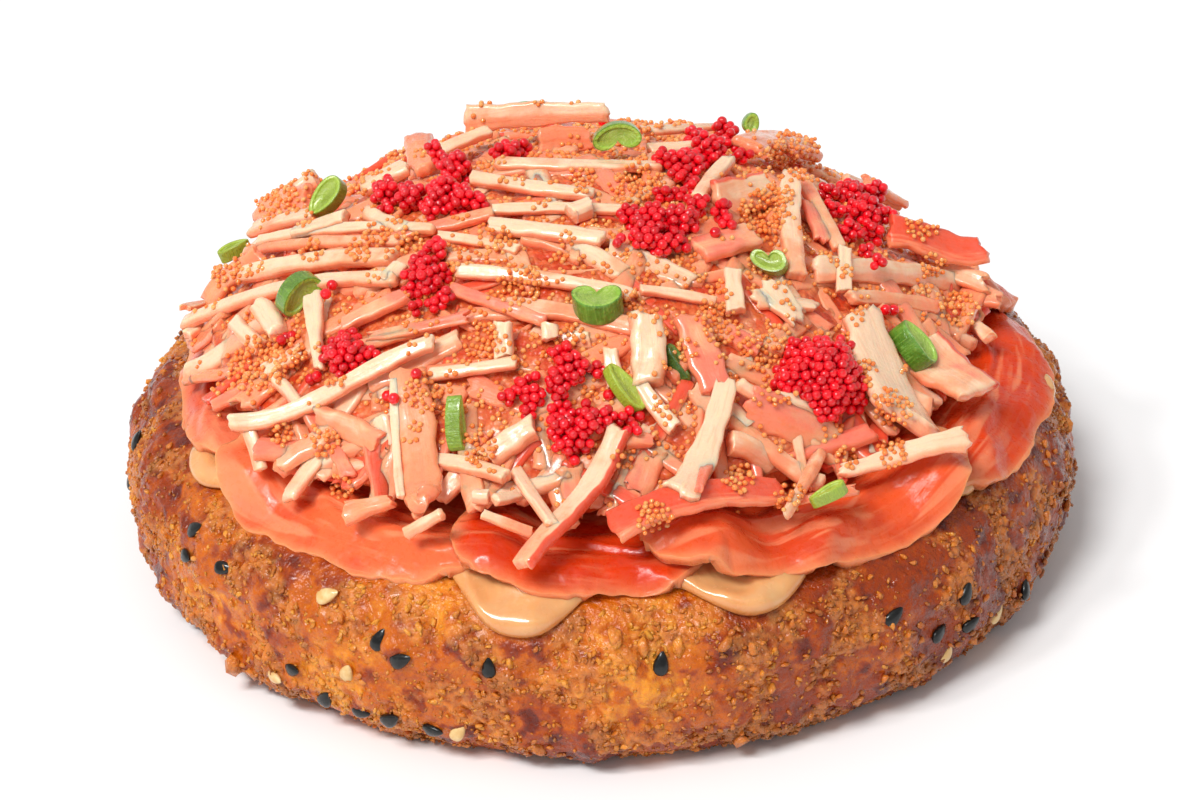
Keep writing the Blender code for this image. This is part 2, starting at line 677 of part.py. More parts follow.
def make_roe(name, place, length, width, height, heading, material):
    """A low mound of eggs on the heap, its surface in bumps of about an egg each."""
    turned = Matrix.Rotation(math.radians(heading), 2)
    columns = 14
    shares = (0.4, 0.75, 1.0)
    heights = (0.95, 0.68, 0.2)
    bump = 0.35 * MM

    def swing(angle, row):
        column = round(angle / (2 * math.pi) * columns)
        return 1 if (column + row) % 2 else -1

    def spot(angle, row):
        uneven = 0.94 + 0.10 * math.sin(3 * angle + place[0]) + 0.05 * swing(angle, row)
        flat = Vector((math.cos(angle) * length / 2, math.sin(angle) * width / 2)) * MM
        flat = turned @ (flat * shares[row] * uneven)
        return place[0] * MM + flat.x, place[1] * MM + flat.y

    def lower(angle, row):
        x, y = spot(angle, row)
        return Vector((x, y, heap_top(x, y) + 0.4 * MM))

    def upper(angle, row):
        x, y = spot(angle, row)
        rise = height * MM * heights[row]
        if row < len(shares) - 1:
            rise += bump * swing(angle, row)
        return Vector((x, y, heap_top(x, y) + 0.4 * MM + rise))

    bm = bmesh.new()
    add_sheet(bm, even_angles(columns), len(shares), upper, lower, closed=True)
    add_object(name, bm, material)


def make_scallion(name, place, width, squash, length, heading, lean, material):
    """A cut ring of scallion, leaning as it fell, with its lowest edge just above the heap."""
    sides = 10
    wall = 0.9 * MM
    outer = width * MM / 2
    tilt = Matrix.Rotation(math.radians(heading), 3, "Z") @ Matrix.Rotation(math.radians(lean), 3, "X")
    bm = bmesh.new()
    loops = []
    for radius, level in ((outer, -1), (outer, 1), (outer - wall, 1), (outer - wall, -1)):
        loop = []
        for angle in even_angles(sides):
            across = max(radius * squash, radius - outer * (1 - squash))
            local = Vector((radius * math.cos(angle), across * math.sin(angle), level * length * MM / 2))
            loop.append(bm.verts.new(tilt @ local))
        loops.append(loop)
    for loop, following in zip(loops, loops[1:] + loops[:1]):
        for k in range(sides):
            after = (k + 1) % sides
            add_quad(bm, loop[k], loop[after], following[after], following[k])
    x, y = place[0] * MM, place[1] * MM
    level = max(rest_height(x + vert.co.x, y + vert.co.y) - vert.co.z for vert in bm.verts)
    bmesh.ops.translate(bm, verts=bm.verts, vec=(x, y, level + 0.35 * MM))
    add_object(name, bm, material)


def centre_model():
    """Move every mesh so that the whole box is centred on the origin in X and Y."""
    items = [item for item in bpy.data.objects if item.type == "MESH"]
    places = [vert.co for item in items for vert in item.data.vertices]
    shift = Vector((0, 0, 0))
    for axis in (0, 1):
        values = [place[axis] for place in places]
        shift[axis] = -(min(values) + max(values)) / 2
    for item in items:
        item.data.transform(Matrix.Translation(shift))


def main():
    clear_objects()
    crust = make_material("fried crust", (0.72, 0.38, 0.12), 0.45)
    black = make_material("black sesame", (0.02, 0.02, 0.02), 0.35)
    pale = make_material("pale sesame", (0.85, 0.68, 0.42), 0.45)
    mayo = make_material("mayonnaise", (0.92, 0.72, 0.42), 0.25)
    salmon = make_material("raw salmon", (0.90, 0.30, 0.14), 0.28)
    crab = make_material("crab shreds", (0.95, 0.72, 0.55), 0.4)
    roe = make_material("red roe", (0.80, 0.01, 0.03), 0.15)
    green = make_material("scallion", (0.25, 0.50, 0.10), 0.35)
    make_patty(crust, black, pale)
    make_mayo(mayo)
    for index in range(len(SALMON_SLICES)):
        make_salmon(index, salmon)
    make_crab_salad(crab, roe)
    for cluster in ROE_CLUSTERS:
        make_roe(*cluster, roe)
    for piece in SCALLIONS:
        make_scallion(*piece, green)
    centre_model()


main()
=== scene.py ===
import itertools
import math
import random
from contextlib import contextmanager

import bmesh
import bpy
import numpy as np
from mathutils import Matrix, Vector, noise
from mathutils.bvhtree import BVHTree


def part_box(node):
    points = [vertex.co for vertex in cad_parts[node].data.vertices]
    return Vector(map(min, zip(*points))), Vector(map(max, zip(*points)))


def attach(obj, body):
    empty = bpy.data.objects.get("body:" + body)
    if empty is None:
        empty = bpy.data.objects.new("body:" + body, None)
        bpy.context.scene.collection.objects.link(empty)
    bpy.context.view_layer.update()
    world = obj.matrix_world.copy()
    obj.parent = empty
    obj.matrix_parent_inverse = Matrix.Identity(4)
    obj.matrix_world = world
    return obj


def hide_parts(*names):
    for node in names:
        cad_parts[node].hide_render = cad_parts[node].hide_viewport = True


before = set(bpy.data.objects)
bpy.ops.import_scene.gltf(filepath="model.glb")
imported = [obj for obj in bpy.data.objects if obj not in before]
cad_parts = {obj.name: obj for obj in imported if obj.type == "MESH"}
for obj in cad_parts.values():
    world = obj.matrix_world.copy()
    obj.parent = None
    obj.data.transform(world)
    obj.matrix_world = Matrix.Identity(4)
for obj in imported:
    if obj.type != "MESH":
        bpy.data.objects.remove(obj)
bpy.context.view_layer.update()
bpy.ops.object.select_all(action="DESELECT")

# Shapes are worked out in millimetres and become metres when a piece is finished
mm = 0.001
modelShift = Vector((0.19, -0.10, 0.0))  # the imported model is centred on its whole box


# View: the camera's place, and the way from a pixel of the 1200 x 800 image into the scene

view = {
    "imageSize": (1200, 800),
    "elevation": math.radians(30),
    "distance": 420.0,
    "lens": 105.46,
    "sensor": 36.0,
    "roll": math.radians(-1.42),
    "target": Vector((0, 0, 12)),
    "targetPixel": (601.6, 425.0),
}
focalPixels = view["lens"] / view["sensor"] * view["imageSize"][0]
viewBack = Vector((0, -math.cos(view["elevation"]), math.sin(view["elevation"])))
viewUp = Vector((0, math.sin(view["elevation"]), math.cos(view["elevation"])))
viewRight = Vector((1, 0, 0))


def pixelRay(x, y):
    across = x - view["targetPixel"][0]
    down = y - view["targetPixel"][1]
    cosRoll = math.cos(view["roll"])
    sinRoll = math.sin(view["roll"])
    u = (cosRoll * across + sinRoll * down) / focalPixels
    v = (cosRoll * down - sinRoll * across) / focalPixels
    return view["target"] + viewBack * view["distance"], viewRight * u - viewUp * v - viewBack


def addCamera():
    middle = (view["imageSize"][0] / 2, view["imageSize"][1] / 2)
    origin, forward = pixelRay(*middle)
    right = (pixelRay(middle[0] + 1, middle[1])[1] - forward).normalized()
    forward = forward.normalized()
    up = right.cross(forward).normalized()
    bpy.ops.object.camera_add()
    camera = bpy.context.object
    camera.data.lens = view["lens"]
    camera.data.sensor_width = view["sensor"]
    camera.data.sensor_fit = "HORIZONTAL"
    camera.data.clip_start = 0.01
    axes = Matrix((right, up, -forward)).transposed()
    camera.matrix_world = Matrix.Translation((origin + modelShift) * mm) @ axes.to_4x4()
    bpy.context.scene.camera = camera


# Form of the layers, the same as in the part

patty = {"radius": 56.0, "height": 20.5, "topRounding": 9.0, "bottomRounding": 6.0}
flatEnd = patty["radius"] - patty["topRounding"]
shoulderEnd = flatEnd + patty["topRounding"] * math.pi / 2
sideEnd = shoulderEnd + patty["height"] - patty["topRounding"] - patty["bottomRounding"]
skinEnd = sideEnd + patty["bottomRounding"] * math.pi / 2

mayoForm = {
    "start": 24.0,
    "plainEdge": 46.0,
    "lip": 1.6,
    "thickness": 1.1,
    "squareness": 2.2,
    # middle and spread of each lobe in degrees, and how far it runs past the plain edge
    "lobes": ((260, 9, 9.5), (288, 10, 8.5), (207, 9, 5.5), (324, 7, 5.0), (350, 9, 7.5),
              (95, 10, 4.0), (140, 10, 5.0)),
}

# Salmon slices from the lowest to the highest: first and last angle, reach over the skin, waves
# along the edge and their height, then how pink and how deep the colour is
salmonForm = {"start": 26.0, "thickness": 1.7, "gap": 0.5}
salmonSlices = (
    ("salmon_back", 50, 115, 50.0, 2.0, 0.7, 0.3, 0.4),
    ("salmon_back_left", 110, 170, 50.0, 1.5, 0.8, 0.5, 0.3),
    ("salmon_left", 165, 215, 49.5, 2.5, 1.0, 0.9, 0.25),
    ("salmon_front_left", 210, 255, 51.8, 1.0, 0.6, 0.35, 0.2),
    ("salmon_front", 250, 285, 51.0, 1.5, 0.8, 0.0, 1.0),
    ("salmon_right", 320, 370, 53.2, 1.5, 0.8, 0.0, 0.9),
    ("salmon_front_right", 275, 325, 52.0, 3.0, 1.3, 0.15, 0.55),
    ("salmon_back_right", 5, 55, 52.2, 2.0, 0.8, 0.1, 0.8),
)

heap = {
    "centre": (-2.0, 3.0),
    "radius": 48.0,
    "foot": 24.0,
    "rise": 20.0,
    "roundness": 2.4,
    "rimHeight": 27.8,
    "mostRim": 45.5,
}

# Distances from the camera between which a pixel's ray is followed, and the step
rayReach = {"first": 340.0, "last": 480.0, "step": 0.5}


def smoothStep(value):
    value = min(max(value, 0.0), 1.0)
    return value * value * (3 - 2 * value)


def smoothStepMany(values):
    values = np.clip(values, 0.0, 1.0)
    return values * values * (3 - 2 * values)


def angleApart(first, second):
    return (first - second + 180) % 360 - 180


def skinPoint(angle, run, offset=0.0):
    # a length run over the patty's skin from the middle of its top, raised by the offset
    topRounding = patty["topRounding"]
    bottomRounding = patty["bottomRounding"]
    if run <= flatEnd:
        radius = run
        height = patty["height"] + offset
    elif run <= shoulderEnd:
        turn = (run - flatEnd) / topRounding
        radius = flatEnd + (topRounding + offset) * math.sin(turn)
        height = patty["height"] - topRounding + (topRounding + offset) * math.cos(turn)
    elif run <= sideEnd:
        radius = patty["radius"] + offset
        height = patty["height"] - topRounding - (run - shoulderEnd)
    elif run <= skinEnd:
        turn = (run - sideEnd) / bottomRounding
        radius = patty["radius"] - bottomRounding + (bottomRounding + offset) * math.cos(turn)
        height = bottomRounding - (bottomRounding + offset) * math.sin(turn)
    else:
        radius = max(patty["radius"] - bottomRounding - (run - skinEnd), 0.0)
        height = 0.0
    return Vector((radius * math.cos(angle), radius * math.sin(angle), max(height, 0.0)))


def mayoEdge(angle):
    degrees = math.degrees(angle)
    run = mayoForm["plainEdge"]
    for middle, spread, length in mayoForm["lobes"]:
        run += length * math.exp(-abs(angleApart(degrees, middle) / spread) ** mayoForm["squareness"])
    return run


def salmonReach(entry, angle):
    first, last, reach = entry[1:4]
    across = angleApart(math.degrees(angle), (first + last) / 2) / ((last - first) / 2)
    return reach + 0.5 * math.sin(5 * angle + first) - 4 * min(abs(across), 1.0) ** 4


def salmonPresence(entry, angle, run):
    # 1 over a slice's own area, fading to 0 beside it
    first, last = entry[1:3]
    outside = abs(angleApart(math.degrees(angle), (first + last) / 2)) - (last - first) / 2
    beyond = 1 - smoothStep((run - salmonReach(entry, angle) - 1.5) / 4)
    return (1 - smoothStep(outside / 8)) * beyond


def salmonWave(entry, angle, run):
    first, last = entry[1:3]
    waves, height = entry[4:6]
    along = angleApart(math.degrees(angle), first) / (last - first)
    swing = 0.5 + 0.5 * math.sin(2 * math.pi * waves * along + first)
    return height * swing * smoothStep((run - 41) / 9)


def crustGap(run):
    return 0.3 + 0.36 * smoothStep((run - 44) / 4)


def salmonFloor(index, angle, run):
    # height over the skin at which slice number index lies on what is under it
    underEdge = 1 - smoothStep((run - mayoEdge(angle) - 0.5) / 3.5)
    offset = crustGap(run) + (mayoForm["thickness"] + salmonForm["gap"]) * underEdge
    for entry in salmonSlices[:index]:
        thickness = salmonForm["thickness"] + salmonForm["gap"] + salmonWave(entry, angle, run)
        offset += thickness * salmonPresence(entry, angle, run)
    return offset


def heapTop(x, y):
    away = math.hypot(x - heap["centre"][0], y - heap["centre"][1]) / heap["radius"]
    return heap["foot"] + heap["rise"] * (1 - away ** heap["roundness"])


def heapRim(angle):
    # distance from the axis at which the crab salad's core ends
    fall = 1 - (heap["rimHeight"] - heap["foot"]) / heap["rise"]
    radius = heap["radius"] * fall ** (1 / heap["roundness"])
    along = heap["centre"][0] * math.cos(angle) + heap["centre"][1] * math.sin(angle)
    apart = math.hypot(*heap["centre"])
    return min(along + math.sqrt(radius ** 2 - apart ** 2 + along ** 2), heap["mostRim"])


def backDrop(y):
    # how far the filling lies under the heap's form at the back, where single strips stand out
    return 1.7 * smoothStep((y - 3) / 8) + 0.8 * smoothStep((y - 16) / 8)


def restHeight(x, y):
    # top of the core, or of the salmon beyond the core's rim
    angle = math.atan2(y, x) % (2 * math.pi)
    away = math.hypot(x, y)
    if away < heapRim(angle) - 1:
        return heapTop(x, y)
    offset = salmonFloor(len(salmonSlices), angle, min(away, 52.0))
    over = patty["topRounding"] + offset
    drop = min(max(away - flatEnd, 0.0), over)
    return patty["height"] - patty["topRounding"] + math.sqrt(over ** 2 - drop ** 2) + 0.5


def heapPoint(pixel, lift):
    # where the ray through a pixel meets the heap, raised by the lift, or comes nearest to it,
    # and how many millimetres a pixel is there
    origin, direction = pixelRay(*pixel)
    nearest = (math.inf, rayReach["first"])
    reach = rayReach["first"]
    while reach < rayReach["last"]:
        place = origin + direction * reach
        if place.y > 0 and math.hypot(place.x, place.y) > heap["mostRim"]:
            break  # past the heap
        clearance = place.z - restHeight(place.x, place.y) - lift
        if clearance < 0:
            nearest = (0.0, reach - rayReach["step"] / 2)
            break
        nearest = min(nearest, (clearance, reach))
        reach += rayReach["step"]
    return origin + direction * nearest[1], nearest[1] / focalPixels


# Shader maths: a wrapped socket takes part in Python expressions

def hue(code):
    # a web colour as the linear colour that a shader reads
    parts = [int(code[i:i + 2], 16) / 255 for i in (1, 3, 5)]
    return (*[p / 12.92 if p <= 0.04045 else ((p + 0.055) / 1.055) ** 2.4 for p in parts], 1.0)


class Wire:
    def __init__(self, finish, socket):
        self.finish = finish
        self.socket = socket

    def math(self, operation, first, second):
        return self.finish.node("ShaderNodeMath", {"operation": operation}, {0: first, 1: second})

    def __add__(self, other):
        return self.math("ADD", self, other)

    def __radd__(self, other):
        return self.math("ADD", other, self)

    def __sub__(self, other):
        return self.math("SUBTRACT", self, other)

    def __rsub__(self, other):
        return self.math("SUBTRACT", other, self)

    def __mul__(self, other):
        return self.math("MULTIPLY", self, other)

    def __rmul__(self, other):
        return self.math("MULTIPLY", other, self)


class Finish:
    def __init__(self, name, **fixed):
        self.material = bpy.data.materials.new(name)
        self.material.use_nodes = True
        self.tree = self.material.node_tree
        self.shader = self.tree.nodes["Principled BSDF"]
        for key, value in fixed.items():
            self.shader.inputs[key.replace("_", " ")].default_value = value

    def node(self, kind, settings, values, output=0):
        made = self.tree.nodes.new(kind)
        for key, value in settings.items():
            setattr(made, key, value)
        for key, value in values.items():
            if isinstance(value, Wire):
                self.tree.links.new(value.socket, made.inputs[key])
            else:
                made.inputs[key].default_value = value
        return Wire(self, made.outputs[output])

    def places(self):
        return self.node("ShaderNodeTexCoord", {}, {}, "Object")

    def uv(self, name):
        return self.node("ShaderNodeUVMap", {"uv_map": name}, {})

    def tones(self):
        # the piece's own painted attribute, as three values
        colour = self.node("ShaderNodeAttribute", {"attribute_name": "tone"}, {}, "Color")
        return [self.node("ShaderNodeSeparateColor", {}, {0: colour}, i) for i in range(3)]

    def stretched(self, coords, scale):
        return self.node("ShaderNodeMapping", {}, {"Vector": coords, "Scale": scale})

    def cloud(self, coords, size, detail=3.0, twist=0.0):
        # noise of that size in the units of the coordinates
        values = {"Vector": coords, "Scale": 1 / size, "Detail": detail, "Distortion": twist}
        return self.node("ShaderNodeTexNoise", {}, values)

    def cells(self, coords, size):
        return self.node("ShaderNodeTexVoronoi", {}, {"Vector": coords, "Scale": 1 / size})

    def span(self, value, low, high, first=0.0, last=1.0):
        values = {0: value, 1: low, 2: high, 3: first, 4: last}
        return self.node("ShaderNodeMapRange", {"interpolation_type": "SMOOTHSTEP"}, values)

    def mix(self, factor, first, second, blend="MIX"):
        settings = {"data_type": "RGBA", "blend_type": blend}
        return self.node("ShaderNodeMix", settings, {0: factor, 6: first, 7: second}, 2)

    def bump(self, height, distance, strength=1.0):
        values = {"Height": height, "Distance": distance, "Strength": strength}
        return self.node("ShaderNodeBump", {}, values)

    def feed(self, **wires):
        for key, value in wires.items():
            self.tree.links.new(value.socket, self.shader.inputs[key.replace("_", " ")])
        return self.material


# Finishes: the sizes of clouds and cells are in metres

def crustFinish():
    look = Finish("friedCrust", Subsurface_Weight=0.3, Subsurface_Radius=(1.0, 0.5, 0.2),
                  Subsurface_Scale=0.0014, Coat_Roughness=0.1, Coat_IOR=1.36,
                  Specular_IOR_Level=0.36)
    places = look.places()
    # the first tone is the toasting with the painted side shade in it
    toastAndShade, grain, height = look.tones()
    broad = look.cloud(places, 0.008, 3.0, 0.4)
    middle = look.cloud(places, 0.0026, 4.0, 0.6)
    fine = look.cloud(places, 0.0008, 3.0)
    tiny = look.cloud(places, 0.00032, 2.0)
    clouds = (broad - 0.5) * 0.3 + (middle - 0.5) * 0.6 + (fine - 0.5) * 0.3
    # painted shade: browner from the side shade in the first tone, and browner in the low pits of the grain
    brownAndShade = toastAndShade * 0.9 + clouds + (0.5 - height) * 0.3
    colour = look.mix(look.span(brownAndShade, 0.04, 0.30), hue("#E6922C"), hue("#C4600E"))
    colour = look.mix(look.span(brownAndShade, 0.30, 0.52), colour, hue("#983806"))
    colour = look.mix(look.span(brownAndShade, 0.50, 0.80), colour, hue("#681C04"))
    pale = look.span(grain * (height + fine * 0.6), 0.42, 0.85) * 0.45
    colour = look.mix(pale, colour, hue("#E09246"))
    rough = look.span(fine, 0.3, 0.7, 0.12, 0.34)
    oily = look.span(middle * 0.5 + fine * 0.5, 0.44, 0.6, 0.0, 0.4)
    dots = look.cells(places, 0.0007)
    relief = fine * 0.9 + (1 - dots) * (grain * 0.4 + 0.2) + tiny * 0.25
    normal = look.bump(relief, 0.0004)
    return look.feed(Base_Color=colour, Roughness=rough, Coat_Weight=oily, Normal=normal)


def mayoFinish():
    look = Finish("mayonnaise", Subsurface_Weight=0.5, Subsurface_Radius=(1.0, 0.6, 0.35),
                  Subsurface_Scale=0.002, Coat_Weight=0.6, Coat_Roughness=0.06)
    places = look.places()
    broad = look.cloud(places, 0.006, 2.0, 0.5)
    fine = look.cloud(places, 0.0015, 2.0)
    thin = look.tones()[0]
    tinted = look.span(broad + thin * 0.5, 0.35, 0.95)
    colour = look.mix(tinted, hue("#E4AA70"), hue("#DA8E50"))
    normal = look.bump(broad * 0.7 + fine * 0.3, 0.0002)
    return look.feed(Base_Color=colour, Roughness=look.span(fine, 0.3, 0.7, 0.16, 0.3), Normal=normal)


def salmonFinish():
    look = Finish("rawSalmon", Subsurface_Weight=0.5, Subsurface_Radius=(1.0, 0.45, 0.25),
                  Subsurface_Scale=0.002, Coat_Roughness=0.18, Specular_IOR_Level=0.22)
    places = look.places()
    pink, deep, edge = look.tones()
    fibre = look.uv("fibre")
    grain = look.cloud(look.stretched(fibre, (0.07, 1.0, 1.0)), 0.8, 3.0, 0.3)
    bands = look.cloud(look.stretched(fibre, (0.05, 0.42, 1.0)), 1.0, 2.0, 0.8)
    broad = look.cloud(places, 0.007, 3.0, 0.5)
    fine = look.cloud(places, 0.0006, 3.0)
    colour = look.mix(deep, hue("#EA6428"), hue("#D83E0E"))
    colour = look.mix(pink * 0.7, colour, hue("#EE8866"))
    colour = look.mix(look.span(broad, 0.42, 0.64) * 0.55, colour, hue("#C83210"))
    colour = look.mix(look.span(bands, 0.55, 0.64) * 0.5, colour, hue("#F2A074"))
    colour = look.mix(look.span(grain, 0.5, 0.75) * 0.3, colour, hue("#F09468"))
    colour = look.mix(edge * 0.6, colour, hue("#F09C68"))
    wet = look.span(broad * 0.4 + fine * 0.6, 0.44, 0.6, 0.0, 0.4)
    normal = look.bump(grain * 0.5 + fine * 0.3 + bands * 0.3, 0.0002)
    return look.feed(Base_Color=colour, Roughness=look.span(fine, 0.3, 0.7, 0.24, 0.4),
                     Coat_Weight=wet, Normal=normal)


def sauceFinish():
    # the dressed, roe filled salad between the shreds
    look = Finish("crabSauce", Subsurface_Weight=0.6, Subsurface_Radius=(1.0, 0.5, 0.25),
                  Subsurface_Scale=0.002, Coat_Weight=0.5, Coat_Roughness=0.1, Specular_IOR_Level=0.3)
    places = look.places()
    broad = look.cloud(places, 0.004, 4.0, 0.8)
    patch = look.cloud(places, 0.0022, 3.0, 0.8)
    dots = look.cells(places, 0.0008)
    colour = look.mix(look.span(broad, 0.36, 0.56), hue("#D4441E"), hue("#E87844"))
    colour = look.mix(look.span(patch, 0.52, 0.66) * 0.6, colour, hue("#F0AA7C"))
    colour = look.mix(look.span(dots, 0.25, 0.7) * 0.4, colour, hue("#D04420"))
    normal = look.bump(1 - dots, 0.0004)
    return look.feed(Base_Color=colour, Roughness=look.span(broad, 0.3, 0.7, 0.2, 0.4), Normal=normal)


def crabFinish():
    look = Finish("crabShred", Subsurface_Weight=0.7, Subsurface_Radius=(1.0, 0.55, 0.35),
                  Subsurface_Scale=0.0009, Coat_Roughness=0.12, Specular_IOR_Level=0.25)
    places = look.places()
    pink, skin, clean = look.tones()
    fibre = look.uv("fibre")
    lines = look.cloud(look.stretched(fibre, (0.10, 1.0, 1.0)), 0.34, 3.0, 0.2)
    bands = look.cloud(look.stretched(fibre, (0.12, 0.6, 1.0)), 1.0, 2.0, 0.4)
    broad = look.cloud(places, 0.0035, 3.0, 0.5)
    fine = look.cloud(places, 0.0006, 2.0)
    soaked = look.span(pink + (broad - 0.5) * 1.1 + (bands - 0.5) * 0.5, 0.0, 1.0)
    colour = look.mix(look.span(soaked, 0.0, 0.5), hue("#F4D0AE"), hue("#F0AE84"))
    colour = look.mix(look.span(soaked, 0.4, 1.0), colour, hue("#F88068"))
    colour = look.mix(look.span(lines, 0.52, 0.72) * 0.3, colour, hue("#F29A6C"))
    # dressing tint where a strip is not clean; on its low and downward sides it is also painted shade
    filmAndShade = look.span(broad * 0.6 + (1 - clean) * 0.8, 0.45, 0.95) * 0.68
    colour = look.mix(filmAndShade, colour, hue("#FA9062"))
    colour = look.mix(look.span(skin + (lines - 0.5) * 0.5, 0.35, 0.75) * 0.9, colour, hue("#E84E30"))
    wet = look.span(broad * 0.5 + fine * 0.5, 0.40, 0.58, 0.0, 1.0)
    normal = look.bump(lines * 0.5 + bands * 0.4 + fine * 0.5, 0.00015, 0.9)
    return look.feed(Base_Color=colour, Roughness=look.span(fine, 0.3, 0.7, 0.24, 0.4),
                     Coat_Weight=wet, Normal=normal)


def roeFinish(name, clear, dark, gloss, scale):
    look = Finish(name, Subsurface_Weight=0.8, Subsurface_Radius=(1.0, 0.6, 0.4), Subsurface_Scale=scale,
                  Coat_Weight=gloss, Coat_Roughness=0.04, Coat_IOR=1.62, Specular_IOR_Level=0.1)
    places = look.places()
    blotch = look.cloud(places, 0.0016, 2.0)
    own = look.tones()[0]
    colour = look.mix(look.span(blotch + own * 0.5, 0.35, 0.95), hue(clear), hue(dark))
    normal = look.bump(look.cloud(places, 0.0004, 1.0), 0.00003)
    return look.feed(Base_Color=colour, Roughness=look.span(blotch, 0.3, 0.7, 0.14, 0.26), Normal=normal)


def scallionFinish(name, dark, light, streak, wet):
    look = Finish(name, Subsurface_Weight=0.3, Subsurface_Radius=(0.8, 1.0, 0.4),
                  Subsurface_Scale=0.001, Coat_Weight=wet, Coat_Roughness=0.15)
    places = look.places()
    fibre = look.uv("fibre")
    lines = look.cloud(look.stretched(fibre, (1.0, 0.12, 1.0)), 0.3, 2.0)
    broad = look.cloud(places, 0.0018, 3.0)
    fine = look.cloud(places, 0.0004, 2.0)
    yellow, shaded = look.tones()[:2]
    colour = look.mix(look.span(broad, 0.3, 0.7), hue(dark), hue(light))
    colour = look.mix(look.span(lines * 0.6 + fine * 0.4, 0.48, 0.62) * 0.5, colour, hue(streak))
    colour = look.mix(yellow * 0.6, colour, hue("#BCC43A"))
    # painted shade: slices are darkened by their second tone
    colour = look.mix(shaded * 0.8, colour, hue("#1E3A12"))
    normal = look.bump(lines + fine, 0.00015)
    return look.feed(Base_Color=colour, Roughness=look.span(broad, 0.3, 0.7, 0.25, 0.4), Normal=normal)


def seedFinish(name, dark, light):
    look = Finish(name, Coat_Weight=0.5, Coat_Roughness=0.1, Specular_IOR_Level=0.2)
    places = look.places()
    broad = look.cloud(places, 0.0012, 3.0)
    fine = look.cloud(places, 0.00025, 2.0)
    colour = look.mix(look.span(broad, 0.35, 0.75), hue(dark), hue(light))
    normal = look.bump(fine, 0.00005)
    return look.feed(Base_Color=colour, Roughness=look.span(fine, 0.3, 0.7, 0.28, 0.45), Normal=normal)


def floorFinish():
    look = Finish("paleFloor", Roughness=0.7)
    mottled = look.cloud(look.places(), 0.4, 2.0)
    return look.feed(Base_Color=look.mix(mottled, hue("#FBFBFB"), hue("#F8F8F8")))


# Pieces: helpers that every piece uses

def finishPiece(piece, material, slotName, *nodes):
    piece.data.transform(Matrix.Translation(modelShift))
    piece.data.transform(Matrix.Scale(mm, 4))
    if material:
        piece.data.materials.append(material)
    piece.data.shade_smooth()
    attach(piece, "root")
    if nodes:
        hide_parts(*nodes)
    return piece


def applyModifier(piece, kind, **settings):
    modifier = piece.modifiers.new(kind.title(), kind)
    for key, value in settings.items():
        setattr(modifier, key, value)
    bpy.context.view_layer.objects.active = piece
    bpy.ops.object.modifier_apply(modifier=modifier.name)


def paint(mesh, tones):
    layer = mesh.color_attributes.new("tone", "FLOAT_COLOR", "POINT")
    rows = np.ones((len(mesh.vertices), 4))
    rows[:, :3] = tones
    layer.data.foreach_set("color", rows.ravel())


def unwrap(mesh, spots):
    # one UV place for each vertex
    layer = mesh.uv_layers.new(name="fibre")
    corners = np.empty(len(mesh.loops), np.int32)
    mesh.loops.foreach_get("vertex_index", corners)
    layer.data.foreach_set("uv", np.asarray(spots)[corners].ravel())


def drapeGrid(name, columns, rows, place):
    # a flat grid laid out by place(u, v), which gives a point, a tone and a UV place
    bpy.ops.mesh.primitive_grid_add(x_subdivisions=columns, y_subdivisions=rows, size=1)
    sheet = bpy.context.object
    sheet.name = name
    tones = []
    spots = []
    for vert in sheet.data.vertices:
        point, tone, spot = place(vert.co.x + 0.5, vert.co.y + 0.5)
        vert.co = point
        tones.append(tone)
        spots.append(spot)
    while sheet.data.uv_layers:
        sheet.data.uv_layers.remove(sheet.data.uv_layers[0])
    paint(sheet.data, np.array(tones))
    unwrap(sheet.data, np.array(spots))
    return sheet


@contextmanager
def editing():
    # what happens inside works on the whole active mesh
    bpy.ops.object.mode_set(mode="EDIT")
    bpy.ops.mesh.select_all(action="SELECT")
    yield
    bpy.ops.object.mode_set(mode="OBJECT")


def closeSeams():
    closeness = 0.002
    with editing():
        bpy.ops.mesh.remove_doubles(threshold=closeness)
        bpy.ops.mesh.dissolve_degenerate(threshold=closeness)
        bpy.ops.mesh.normals_make_consistent(inside=False)


def cutAcross(axis, cuts):
    # in edit mode, cuts every edge that runs along one axis
    mesh = bmesh.from_edit_mesh(bpy.context.object.data)
    bpy.ops.mesh.select_all(action="DESELECT")
    for edge in mesh.edges:
        run = (edge.verts[1].co - edge.verts[0].co).normalized()
        if abs(run[axis]) > 0.99:
            edge.select_set(True)
    bmesh.update_edit_mesh(bpy.context.object.data)
    bpy.ops.mesh.subdivide(number_cuts=cuts)


def readShape(item):
    # a modelled shape as arrays, ready to be copied; the object itself goes
    mesh = item.data
    points = np.empty(len(mesh.vertices) * 3)
    mesh.vertices.foreach_get("co", points)
    corners = np.empty(len(mesh.loops), np.int32)
    mesh.loops.foreach_get("vertex_index", corners)
    starts = np.empty(len(mesh.polygons), np.int32)
    mesh.polygons.foreach_get("loop_start", starts)
    bpy.data.objects.remove(item)
    return {"points": points.reshape(-1, 3), "corners": corners, "starts": starts}


